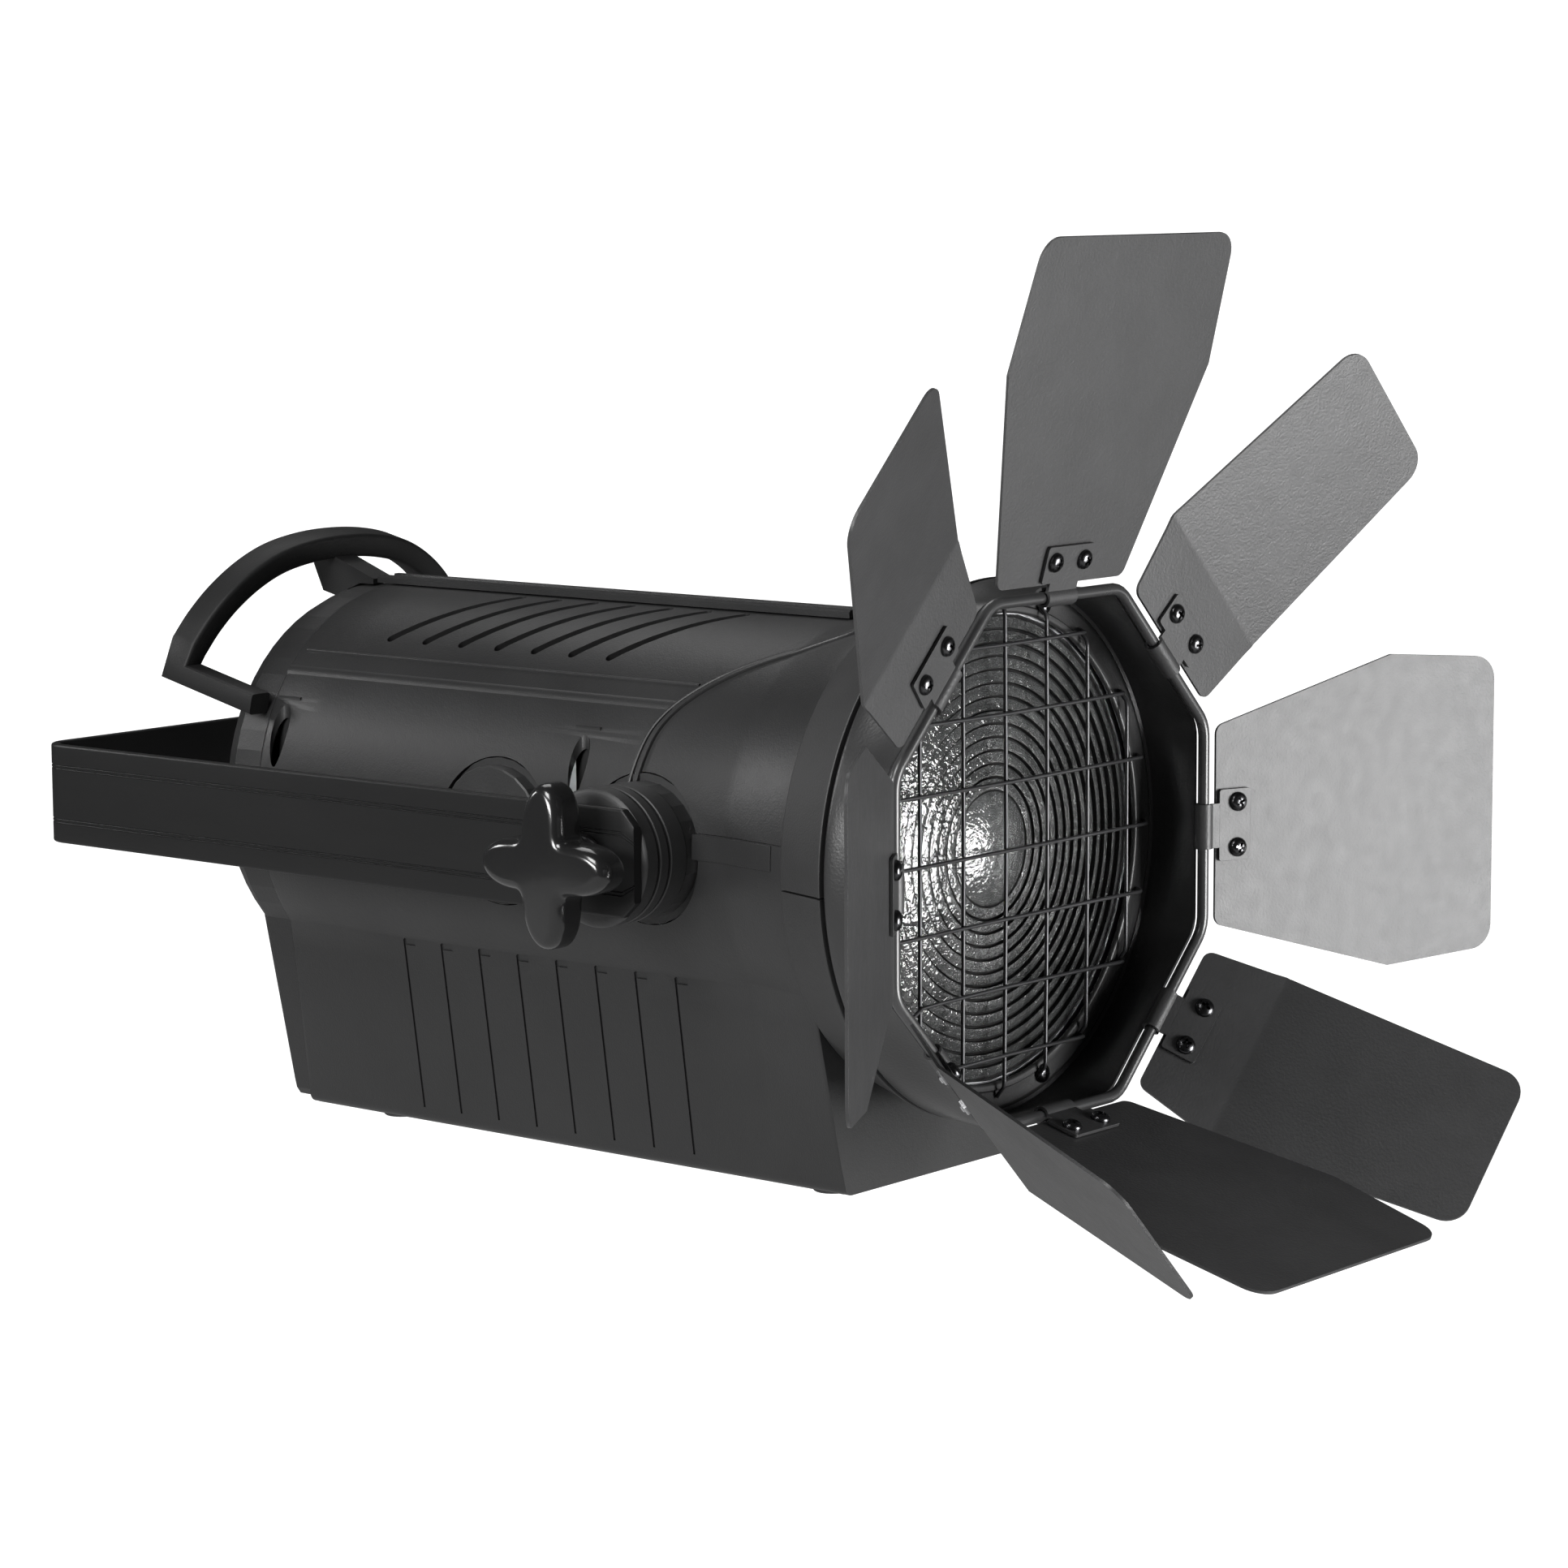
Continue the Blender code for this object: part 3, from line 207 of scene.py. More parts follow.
def surface(name, low, high, rough, grain, metallic=0.0, patch=9.0, scuff=0.0, stretch=None, specular=0.5,
            coat=0.0):
    """Procedural finish: mottled colour and roughness, fine grain as bump, and worn lighter spots."""
    mat = bpy.data.materials.new(name)
    mat.use_nodes = True
    tree = mat.node_tree
    shader = tree.nodes["Principled BSDF"]
    coords = tree.nodes.new("ShaderNodeTexCoord").outputs["Object"]
    if stretch:
        mapping = tree.nodes.new("ShaderNodeMapping")
        put(mapping, scale=stretch)
        link(tree, coords, mapping.inputs["Vector"])
        coords = mapping.outputs["Vector"]
    mottle = noise(tree, coords, patch, 4.0, 0.6)
    mix = tree.nodes.new("ShaderNodeMix")
    mix.data_type = "RGBA"
    put(mix, a=(*low, 1), b=(*high, 1))
    link(tree, remap(tree, mottle, 0.35, 0.65, 0.0, 1.0), mix.inputs["Factor"])
    color = mix.outputs["Result"]
    if scuff:
        worn = tree.nodes.new("ShaderNodeMix")
        worn.data_type = "RGBA"
        put(worn, b=(*[min(1.0, c * 3.2 + 0.02) for c in high], 1))
        spots = remap(tree, noise(tree, coords, 130.0, 8.0, 0.75), 0.66, 0.78, 0.0, scuff)
        link(tree, color, worn.inputs["A"])
        link(tree, spots, worn.inputs["Factor"])
        color = worn.outputs["Result"]
    link(tree, color, shader.inputs["Base Color"])
    sheen = noise(tree, coords, patch * 3.1, 5.0, 0.6)
    link(tree, remap(tree, sheen, 0.3, 0.7, rough[0], rough[1]), shader.inputs["Roughness"])
    normal = None
    for scale, strength, distance in grain:
        normal = bump(tree, noise(tree, coords, scale, 1.5, 0.5), strength, distance, normal)
    if normal is not None:
        link(tree, normal, shader.inputs["Normal"])
    put(shader, metallic=metallic)
    shader.inputs["Specular IOR Level"].default_value = specular
    if coat:
        put(shader, coat_weight=coat, coat_roughness=0.08)
    return mat


def computed(tree, operation, first, second):
    node = tree.nodes.new("ShaderNodeMath")
    node.operation = operation
    for socket, value in zip(node.inputs, (first, second)):
        if isinstance(value, float):
            socket.default_value = value
        else:
            link(tree, value, socket)
    return node.outputs[0]


def blended(tree, kind, factor, first, second):
    """Mixes a socket's value towards a fixed one; kind is the mix node's data type."""
    node = tree.nodes.new("ShaderNodeMix")
    node.data_type = kind
    sockets = {(socket.name, socket.type): socket for socket in node.inputs}
    want = "VALUE" if kind == "FLOAT" else kind
    link(tree, first, sockets[("A", want)])
    sockets[("B", want)].default_value = second
    link(tree, factor, sockets[("Factor", "VALUE")])
    return next(socket for socket in node.outputs if socket.type == want)


def riser_shade_mask(tree):
    """Mask for the painted shade on the lens: 1 in the narrow valleys between its rings, 0 elsewhere."""
    split = tree.nodes.new("ShaderNodeSeparateXYZ")
    join = tree.nodes.new("ShaderNodeCombineXYZ")
    distance = tree.nodes.new("ShaderNodeVectorMath")
    distance.operation = "LENGTH"
    link(tree, tree.nodes.new("ShaderNodeTexCoord").outputs["Object"], split.inputs[0])
    link(tree, split.outputs["X"], join.inputs["X"])
    link(tree, split.outputs["Z"], join.inputs["Z"])
    link(tree, join.outputs[0], distance.inputs[0])
    radius = distance.outputs["Value"]
    along = computed(tree, "DIVIDE", computed(tree, "SUBTRACT", radius, LENS_FIRST), LENS_STEP)
    valley = computed(tree, "GREATER_THAN", computed(tree, "FRACT", along, 0.0), 0.77)
    return computed(tree, "MULTIPLY", valley, computed(tree, "GREATER_THAN", radius, LENS_FIRST - 0.0010))


def glass_material():
    """Clear moulded glass with a pebbled surface; the risers between its rings are dull, and carry painted
    shade: near black and opaque.
    """
    mat = surface("lens_glass", (0.42, 0.43, 0.43), (0.52, 0.53, 0.53), (0.05, 0.12),
                  grain=((480.0, 0.85, 0.0006), (1500.0, 0.3, 0.0003)))
    tree = mat.node_tree
    shader = tree.nodes["Principled BSDF"]
    shader.inputs["IOR"].default_value = 1.55
    riser_shade = riser_shade_mask(tree)
    # Painted shade on the risers: transmission and reflection turned almost off there
    for name, clear, dull_and_shaded in (("Transmission Weight", 0.93, 0.1), ("Specular IOR Level", 0.75, 0.05)):
        link(tree, remap(tree, riser_shade, 0.0, 1.0, clear, dull_and_shaded), shader.inputs[name])
    # Painted shade on the risers: a near black base colour, with a high roughness that makes them dull
    for name, kind, dull_and_shaded in (("Base Color", "RGBA", (0.01, 0.01, 0.01, 1)), ("Roughness", "FLOAT", 0.85)):
        clear = shader.inputs[name].links[0].from_socket
        link(tree, blended(tree, kind, riser_shade, clear, dull_and_shaded), shader.inputs[name])
    return mat


def black(value):
    return (value, value, value * 1.02)


CAST = surface("cast_black", black(0.011), black(0.014), (0.38, 0.44),
               grain=((1500.0, 0.5, 0.00012), (420.0, 0.2, 0.0002)), scuff=0.05, specular=0.36)
HANDLE = surface("handle_black", black(0.006), black(0.009), (0.50, 0.58),
                 grain=((1500.0, 0.5, 0.00012),), scuff=0.05, specular=0.24)
CAST_DARK = surface("cast_dark", black(0.012), black(0.017), (0.55, 0.65), grain=((1500.0, 0.4, 0.00012),))
COLLAR = surface("collar_black", black(0.010), black(0.014), (0.5, 0.6),
                 grain=((1300.0, 0.5, 0.00015),), scuff=0.05)
LEAF = surface("leaf_black", black(0.024), black(0.028), (0.42, 0.46),
               grain=((900.0, 0.5, 0.00022), (240.0, 0.2, 0.0003)), patch=45.0, scuff=0.04, specular=0.42)
HOOD = surface("hood_black", black(0.012), black(0.016), (0.34, 0.40),
               grain=((900.0, 0.4, 0.0002),), scuff=0.05)
WIRE = surface("wire_black", black(0.020), black(0.030), (0.26, 0.36),
               grain=((700.0, 0.2, 0.0001),), scuff=0.12)
SCREW = surface("screw_dark", (0.06, 0.06, 0.063), (0.10, 0.10, 0.103), (0.20, 0.28), metallic=1.0,
                grain=((1800.0, 0.25, 0.00005),))
NUT = surface("nut_zinc", (0.55, 0.55, 0.56), (0.70, 0.70, 0.71), (0.20, 0.34), metallic=1.0,
              grain=((1500.0, 0.25, 0.00006),))
STEEL = surface("bright_steel", (0.50, 0.50, 0.51), (0.62, 0.62, 0.63), (0.22, 0.32), metallic=1.0,
                grain=((1200.0, 0.2, 0.00005),), stretch=(1, 6, 1))
GUARD = surface("guard_steel", (0.035, 0.035, 0.037), (0.06, 0.06, 0.062), (0.30, 0.40), metallic=0.7,
                grain=((900.0, 0.3, 0.00008),))
ALLOY = surface("bare_alloy", (0.60, 0.61, 0.62), (0.72, 0.73, 0.74), (0.30, 0.42), metallic=1.0,
                grain=((500.0, 0.2, 0.00008),), stretch=(1, 1, 9))
NYLON = surface("pivot_nylon", black(0.013), black(0.018), (0.42, 0.54),
                grain=((1100.0, 0.45, 0.00016),), scuff=0.08)
KNOB = surface("knob_black", black(0.006), black(0.009), (0.16, 0.22),
               grain=((160.0, 0.05, 0.0002),), specular=0.45, coat=0.30)
CONTROL = surface("control_black", black(0.018), black(0.026), (0.34, 0.46), grain=((1400.0, 0.3, 0.0001),))
RUBBER = surface("foot_rubber", black(0.020), black(0.030), (0.75, 0.9), grain=((900.0, 0.4, 0.0002),))
YOKE = surface("yoke_black", black(0.006), black(0.008), (0.38, 0.46),
               grain=((1200.0, 0.3, 0.0001),), stretch=(1, 0.25, 1), scuff=0.05, specular=0.22)
BOARD = surface("board_green", (0.01, 0.08, 0.03), (0.02, 0.13, 0.05), (0.35, 0.5),
                grain=((500.0, 0.3, 0.0003),))
PHOSPHOR = surface("emitter", (0.80, 0.66, 0.12), (0.90, 0.76, 0.20), (0.3, 0.4),
                   grain=((900.0, 0.2, 0.0001),))
GLASS = glass_material()


# ---- mesh helpers


def piece(name, mesh, mat, body, replaces=(), smooth=38.0, bevel=0.0, segments=2):
    """Adds a finished piece: shaded, given its material, and tied to its CAD body."""
    bm = bmesh.new()
    bm.from_mesh(mesh)
    bmesh.ops.remove_doubles(bm, verts=bm.verts, dist=1e-7)
    bmesh.ops.recalc_face_normals(bm, faces=bm.faces)
    bm.to_mesh(mesh)
    bm.free()
    for polygon in mesh.polygons:
        polygon.use_smooth = True
    mesh.set_sharp_from_angle(angle=math.radians(smooth))
    mesh.materials.clear()
    mesh.materials.append(mat)
    obj = bpy.data.objects.new(name, mesh)
    scene.collection.objects.link(obj)
    if bevel:
        modifier = obj.modifiers.new("bevel", "BEVEL")
        modifier.width = bevel
        modifier.segments = segments
        modifier.limit_method = "ANGLE"
        modifier.angle_limit = math.radians(35)
        modifier.harden_normals = True
    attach(obj, body)
    if replaces:
        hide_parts(*replaces)
    return obj


def mesh_of(points, faces):
    mesh = bpy.data.meshes.new("shape")
    mesh.from_pydata([tuple(p) for p in points], [], faces)
    return mesh


def merged(meshes):
    """The meshes side by side as one mesh."""
    points, faces = [], []
    for mesh in meshes:
        first = len(points)
        points += [v.co.copy() for v in mesh.vertices]
        faces += [[first + i for i in p.vertices] for p in mesh.polygons]
    return mesh_of(points, faces)


def moved(mesh, matrix):
    copy = mesh.copy()
    copy.transform(matrix)
    return copy


def loft(rings, closed=False, caps=True):
    """Joins rings of equal length into a skin. Closed joins the last ring to the first."""
    count = len(rings[0])
    points = [p for ring in rings for p in ring]
    faces = []
    for i in range(len(rings) if closed else len(rings) - 1):
        a = i * count
        b = ((i + 1) % len(rings)) * count
        for j in range(count):
            k = (j + 1) % count
            faces.append((a + j, a + k, b + k, b + j))
    if caps and not closed:
        faces.append(tuple(range(count)))
        faces.append(tuple(range(len(points) - count, len(points))))
    return mesh_of(points, faces)


def turned(profile, axis, centre, steps=96):
    """Turns (radius, height) pairs about an axis; one that starts and ends at radius 0 is closed there."""
    units = {"X": (Vector((0, 1, 0)), Vector((0, 0, 1)), Vector((1, 0, 0))),
             "Y": (Vector((1, 0, 0)), Vector((0, 0, 1)), Vector((0, 1, 0))),
             "Z": (Vector((1, 0, 0)), Vector((0, 1, 0)), Vector((0, 0, 1)))}[axis]
    rows = [p for p in profile if p[0] > 0]
    solid = profile[0][0] == 0
    points, faces = [], []
    count = len(rows)
    for i in range(steps):
        a = 2 * math.pi * i / steps
        spoke = units[0] * math.cos(a) + units[1] * math.sin(a)
        points += [Vector(centre) + spoke * r + units[2] * h for r, h in rows]
    for i in range(steps):
        a, b = i * count, ((i + 1) % steps) * count
        for j in range(count - 1 if solid else count):
            k = (j + 1) % count
            faces.append((a + j, a + k, b + k, b + j))
    if solid:
        first = len(points)
        points += [Vector(centre) + units[2] * profile[0][1], Vector(centre) + units[2] * profile[-1][1]]
        for i in range(steps):
            a, b = i * count, ((i + 1) % steps) * count
            faces += [(a, b, first), (a + count - 1, first + 1, b + count - 1)]
    return mesh_of(points, faces)


def bore(radius, start, end, axis, centre, steps):
    """A plain cylinder to cut a hole with."""
    return turned([(0.0, start), (radius, start), (radius, end), (0.0, end)], axis, centre, steps)


def box(low, high):
    (x0, y0, z0), (x1, y1, z1) = low, high
    rings = [[at(x0, y, z0), at(x1, y, z0), at(x1, y, z1), at(x0, y, z1)] for y in (y0, y1)]
    return loft(rings)


def carve(mesh, cutter, operation="DIFFERENCE"):
    """The mesh with a cutter taken away or joined, as a new mesh."""
    made = []
    for source in (mesh, cutter):
        bm = bmesh.new()
        bm.from_mesh(source)
        bmesh.ops.recalc_face_normals(bm, faces=bm.faces)
        bm.to_mesh(source)
        bm.free()
        obj = bpy.data.objects.new("work", source)
        scene.collection.objects.link(obj)
        made.append(obj)
    modifier = made[0].modifiers.new("cut", "BOOLEAN")
    modifier.operation = operation
    modifier.object = made[1]
    modifier.solver = "EXACT"
    graph = bpy.context.evaluated_depsgraph_get()
    result = bpy.data.meshes.new_from_object(made[0].evaluated_get(graph))
    for obj in made:
        bpy.data.objects.remove(obj)
    return result


def arc(radius, start, end, steps):
    """Pairs along an arc round the origin, its ends given in degrees."""
    turns = [math.radians(start + (end - start) * i / steps) for i in range(steps + 1)]
    return [(radius * math.cos(t), radius * math.sin(t)) for t in turns]


def smoothed(points, steps):
    """Catmull-Rom through the points."""
    out = []
    ends = [points[0] * 2 - points[1]] + list(points) + [points[-1] * 2 - points[-2]]
    for i in range(1, len(ends) - 2):
        a, b, c, d = ends[i - 1:i + 3]
        for k in range(steps):
            t = k / steps
            bend = (2 * a - 5 * b + 4 * c - d) * t**2 + (3 * b - a - 3 * c + d) * t**3
            out.append(0.5 * ((2 * b) + (c - a) * t + bend))
    out.append(ends[-2])
    return out


def eased(points, radii, steps=6):
    """An open outline with each inner corner rounded by its radius."""
    out = [points[0]]
    for before, corner, after, radius in zip(points, points[1:], points[2:], radii):
        a = (before - corner).normalized()
        b = (after - corner).normalized()
        half = math.acos(max(-1.0, min(1.0, a.dot(b)))) / 2
        reach = min(radius / math.tan(half), (before - corner).length * 0.49, (after - corner).length * 0.49)
        radius = reach * math.tan(half)
        centre = corner + (a + b).normalized() * (radius / math.sin(half))
        start, end = corner + a * reach - centre, corner + b * reach - centre
        sweep = math.atan2(start.x * end.y - start.y * end.x, start.dot(end))
        for k in range(steps + 1):
            cos, sin = math.cos(sweep * k / steps), math.sin(sweep * k / steps)
            out.append(centre + Vector((start.x * cos - start.y * sin, start.x * sin + start.y * cos)))
    out.append(points[-1])
    return out


def tube(path, radius, sides=12, closed=False):
    """A round bar along a path that lies roughly across the optical axis."""
    lift = Vector((0, 1, 0))
    turns = [2 * math.pi * j / sides for j in range(sides)]
    rings = []
    for i, p in enumerate(path):
        before = path[i - 1] if closed or i else path[0]
        after = path[(i + 1) % len(path)] if closed or i < len(path) - 1 else path[-1]
        run = (after - before).normalized()
        out = lift.cross(run).normalized()
        other = run.cross(out)
        rings.append([p + out * radius * math.cos(t) + other * radius * math.sin(t) for t in turns])
    return loft(rings, closed=closed)


add_camera()
add_floor()
add_lights()

# ---- barn door leaves


# Place round the rim and opening from the lens axis, in degrees, and whether it is a folded corner leaf
LEAVES = {
    "right": (0.0, 67.7, False), "upper_right": (45.0, 83.2, True), "top": (90.0, 74.0, False),
    "upper_left": (135.0, 80.4, True), "left": (180.0, 58.3, False), "lower_left": (225.0, 36.4, True),
    "bottom": (270.0, 16.2, False), "lower_right": (315.0, 40.5, True),
}
# Half outlines as (u, v), mirrored about u = 0
WIDE_LEAF = ((0.0, 0.0054), (0.0400, 0.0054), (0.0642, 0.0902), (0.0604, 0.1424), (0.0, 0.1424))
CORNER_LEAF = ((0.0, 0.0054), (0.0333, 0.0054), (0.0394, 0.0404), (0.0351, 0.1435), (0.0, 0.1435))
OUTLINE_RADII = (0.0045, 0.003, 0.010)
FOLD_V = 0.0404
FOLD_DEG = -15.5
CLIP_LOW = -0.0021
CLIP_HIGH = -0.0009


class Leaf:
    """A leaf's own directions: u along its hinge, v outward, h off the plate towards its outer face."""

    def __init__(self, place, opening, fold=0.0):
        a = math.radians(place)
        self.normal = Vector((math.cos(a), 0, math.sin(a)))
        self.along = Vector((-math.sin(a), 0, math.cos(a)))
        self.hinge = at(0, 0, 0) + self.normal * RIM_FLATS / 2
        self.out, self.off = self.directions(opening)
        self.out2, self.off2 = self.directions(opening + fold)

    def directions(self, opening):
        t = math.radians(opening)
        ahead = Vector((0, -1, 0))
        sin, cos = math.sin(t), math.cos(t)
        return self.normal * sin + ahead * cos, self.normal * cos - ahead * sin

    def point(self, u, v, h, folded=False):
        if not folded or v < FOLD_V - 1e-6:
            return self.hinge + self.along * u + self.out * v + self.off * h
        mid = (self.off + self.off2).normalized()
        off = mid if v < FOLD_V + 1e-6 else self.off2
        return self.hinge + self.along * u + self.out * FOLD_V + self.out2 * (v - FOLD_V) + off * h

    def matrix(self, u, v, h):
        """Puts a shape drawn about +Z at a spot on the leaf, +Z along the leaf's outer side."""
        axes = Matrix((self.along, self.out, self.along.cross(self.out))).transposed().to_4x4()
        return Matrix.Translation(self.point(u, v, h)) @ axes


def leaf_sheet(leaf, is_corner):
    """Sheet with rounded corners; a corner leaf has a soft fold across it."""
    outline = eased([Vector(p) for p in (CORNER_LEAF if is_corner else WIDE_LEAF)], OUTLINE_RADII, 8)[1:-1]
    rows = [(p.x, p.y) for p in outline]
    spans = []
    for (u0, v0), (u1, v1) in zip(rows, rows[1:]):
        steps = max(1, int((v1 - v0) / 0.006))
        spans += [(u0 + (u1 - u0) * k / steps, v0 + (v1 - v0) * k / steps) for k in range(steps)]
    spans.append(rows[-1])
    if is_corner:
        edge = min(spans, key=lambda p: abs(p[1] - FOLD_V))[0]
        spans = [p for p in spans if abs(p[1] - FOLD_V) > 0.0020]
        spans += [(edge, FOLD_V + d) for d in (-0.0016, 0.0, 0.0016)]
        spans.sort(key=lambda p: p[1])
    rings = []
    for half, v in spans:
        across = [-half, -half * 0.5, 0.0, half * 0.5, half]
        ring = [leaf.point(u, v, -LEAF_T / 2, is_corner) for u in across]
        ring += [leaf.point(u, v, LEAF_T / 2, is_corner) for u in reversed(across)]
        rings.append(ring)
    return loft(rings)


def clip_plate(leaf):
    """Plate with eased corners on the inner face, and a tongue curled round the rim wire."""
    corners = [Vector(p) for p in ((0.0, 0.0064), (0.0145, 0.0064), (0.0145, 0.0212), (0.0, 0.0212))]
    rings = []
    for p in eased(corners, (0.0012, 0.0012), 4)[1:-1]:
        section = ((-p.x, CLIP_LOW), (p.x, CLIP_LOW), (p.x, CLIP_HIGH), (-p.x, CLIP_HIGH))
        rings.append([leaf.point(u, p.y, h) for u, h in section])
    plate = loft(rings)
    outer = arc(0.0038, -33.5, -340.0, 28)
    inner = arc(0.0026, -340.0, -20.3, 28)
    profile = [(0.0100, CLIP_LOW + 0.00005)] + outer + inner + [(0.0100, CLIP_HIGH - 0.00005)]
    tongue = loft([[leaf.point(u, v, h) for v, h in profile] for u in (-0.0090, 0.0090)])
    return merged([plate, tongue])


def pan_head():
    """Pan head with a cross recess, standing on z = 0 and rising to -Z."""
    radius, height, edge, tip = 0.0039, 0.0027, 0.0005, 0.0004
    profile = [(0.0, 0.0), (radius, 0.0), (radius, -edge)]
    for i in range(1, 8):
        a = math.pi / 2 * i / 8
        profile.append((radius * (0.12 + 0.88 * math.cos(a)), -edge - (height - edge) * math.sin(a)))
    profile += [(tip, -height), (0.0, -height)]
    head = turned(profile, "Z", (0, 0, 0), 40)
    for turn in (0, math.pi / 2):
        a = Vector((math.cos(turn), math.sin(turn), 0))
        b = Vector((-math.sin(turn), math.cos(turn), 0))
        wing = []
        for z, long, wide in ((-height - 0.0006, 0.0026, 0.00065), (-height + 0.0016, 0.0012, 0.00040)):
            corners = ((-long, -wide), (long, -wide), (long, wide), (-long, wide))
            wing.append([a * x + b * y + Vector((0, 0, z)) for x, y in corners])
        head = carve(head, loft(wing))
    return head


def hex_nut():
    """Chamfered hexagon nut on z = 0 with the domed end of its screw, rising to +Z."""
    rings = []
    for z, share in ((0.0, 0.97), (0.0002, 1.0), (0.0019, 1.0), (0.0022, 0.90)):
        rings.append([Vector((x, y, z)) for x, y in arc(0.0037 * share, 0, 300, 5)])
    nut = loft(rings)
    thread = [(0.0, 0.0015), (0.0018, 0.0015), (0.0018, 0.0020), (0.0016, 0.0022), (0.0018, 0.0024),
              (0.0014, 0.0029), (0.0, 0.0030)]
    return merged([nut, turned(thread, "Z", (0, 0, 0), 24)])


PAN_HEAD = pan_head()
HEX_NUT = hex_nut()


def add_leaves():
    """Sheet, hinge clip, screw heads and nuts of each leaf; each screw is turned its own way."""
    for index, (name, (place, opening, is_corner)) in enumerate(LEAVES.items()):
        leaf = Leaf(place, opening, FOLD_DEG if is_corner else 0.0)
        body = f"door_{name}"
        sheet = leaf_sheet(leaf, is_corner)
        piece(f"sheet_{name}", sheet, LEAF, body, (f"leaf_{name}",), 50, 0.00035)
        hinge = clip_plate(leaf)
        piece(f"hinge_{name}", hinge, LEAF, body, (f"clip_{name}",), 40, 0.00025)
        heads, nuts = [], []
        for u in (-BOLT_U, BOLT_U):
            spin = Matrix.Rotation(0.7 + 1.9 * index + 40.0 * u, 4, "Z")
            heads.append(moved(PAN_HEAD, leaf.matrix(u, BOLT_V, CLIP_LOW) @ flip(leaf) @ spin))
            nuts.append(moved(HEX_NUT, leaf.matrix(u, BOLT_V, LEAF_T / 2) @ flip(leaf) @ spin))
        piece(f"screws_{name}", merged(heads), SCREW, body, (), 35)
        piece(f"nuts_{name}", merged(nuts), NUT, body, (), 30)


def flip(leaf):
    """Keeps +Z of a leaf's matrix on its outer side whichever way along x out points."""
    same = leaf.along.cross(leaf.out).dot(leaf.off) > 0
    return Matrix.Identity(4) if same else Matrix.Rotation(math.pi, 4, "X")


# ---- barn door ring


def octagon(angle, flats, corner_r):
    """Distance from the middle to an octagon whose corners are rounded."""
    turn = (angle + math.pi / 8) % (math.pi / 4) - math.pi / 8
    apothem = flats / 2
    inner = (apothem - corner_r) / math.cos(math.pi / 8)
    tangent = math.atan2(inner * math.sin(math.pi / 8), apothem)
    if abs(turn) <= tangent:
        return apothem / math.cos(turn)
    off = math.pi / 8 - abs(turn)
    return inner * math.cos(off) + math.sqrt(max(0.0, corner_r**2 - (inner * math.sin(off)) ** 2))


def hood_ring(y, share, inset, flats=0.2008, corner_r=0.013, round_r=0.1056, count=192):
    """Outline at depth y, share of the way from the octagon to the round."""
    ring = []
    for i in range(count):
        angle = 2 * math.pi * i / count
        r = octagon(angle, flats, corner_r) * (1 - share) + round_r * share - inset
        ring.append(at(r * math.cos(angle), y, r * math.sin(angle)))
    return ring


def add_hood():
    """Sheet that runs from the octagon to the round, with a flange turned in behind the guard."""
    wall = 0.0013
    depths = [(0.0036 + 0.0240 * i / 10, i / 10) for i in range(11)]
    rings = [hood_ring(y, s * s * (3 - 2 * s), 0.0) for y, s in depths]
    for i in range(1, 6):
        a = math.pi / 2 * i / 5
        rings.append(hood_ring(0.0276 + 0.0022 * math.sin(a), 1.0, 0.0022 * (1 - math.cos(a))))
    for r in (0.1000, 0.0950, 0.0930):
        rings.append(hood_ring(0.0298, 1.0, 0.1056 - r))
    for i in range(1, 9):
        a = math.pi * i / 8
        rings.append(hood_ring(0.0285 + 0.0013 * math.cos(a), 1.0, 0.1056 - 0.0930 + 0.0014 * math.sin(a)))
    for r in (0.0944, 0.0952):
        rings.append(hood_ring(0.0272 + (0.0010 if r > 0.0945 else 0.0), 1.0, 0.1056 - r))
    for r in (0.0990, 0.1008, 0.1018, 0.1030):
        rings.append(hood_ring(0.0282 - (0.0007 if 0.1 < r < 0.1025 else 0.0), 1.0, 0.1056 - r))
    rings += [hood_ring(y, s * s * (3 - 2 * s), wall) for y, s in reversed(depths)]
    sheet = loft(rings, closed=True)
    piece("hood_sheet", sheet, HOOD, "barn_door", ("barn_hood",), 40)
    heads = []
    for angle in (72.4, 287.6, 107.6, 252.4):
        a = math.radians(angle)
        spot = at(0.0972 * math.cos(a), 0.0280, 0.0972 * math.sin(a))
        facing = Matrix.Rotation(-math.pi / 2, 4, "X") @ Matrix.Rotation(angle, 4, "Z")
        heads.append(moved(PAN_HEAD, Matrix.Translation(spot) @ facing))
    piece("flange_screws", merged(heads), SCREW, "barn_door", (), 35)


def add_rim_wire():
    count = 240
    path = []
    for i in range(count):
        angle = 2 * math.pi * (i + 0.5) / count
        r = octagon(angle, RIM_FLATS, 0.0135)
        path.append(at(r * math.cos(angle), 0, r * math.sin(angle)))
    bar = tube(path, 0.0023, 16, closed=True)
    piece("rim_bar", bar, WIRE, "barn_door", ("rim_wire",), 60)


GUARD_PITCH = 0.0269
GUARD_R = 0.0975
GUARD_KINK = 0.0042


def guard_wire(index, upright):
    """One wire: straight across, with its ends bent back onto the flange, slightly uneven by hand."""
    level = GUARD_PITCH * index
    reach = math.sqrt(GUARD_R**2 - level**2)
    y = 0.0239 if upright else 0.0226
    wave = 0.0005 * math.sin(level * 211.0 + (2.0 if upright else 0.0))
    kinked = index == -2 and not upright
    marks = [(-reach, 0.0274), (-reach + 0.0012, 0.0268), (-reach + 0.0042, y + 0.0004), (-reach + 0.0065, y)]
    marks += [(-reach * 0.5, y), (0.0, y)]
    marks += [(-s, h) for s, h in reversed(marks[:-1])]
    path = []
    for s, h in marks:
        shift = level + wave * math.cos(s * 30.0)
        if kinked and s < -0.064:
            shift -= GUARD_KINK
        path.append(at(shift, h, s) if upright else at(s, h, shift))
    if kinked:
        path.insert(4, at(-0.0625, y, level - GUARD_KINK))
        path.insert(5, at(-0.0540, y, level - 0.0002))
    return tube(path, 0.00082, 8)


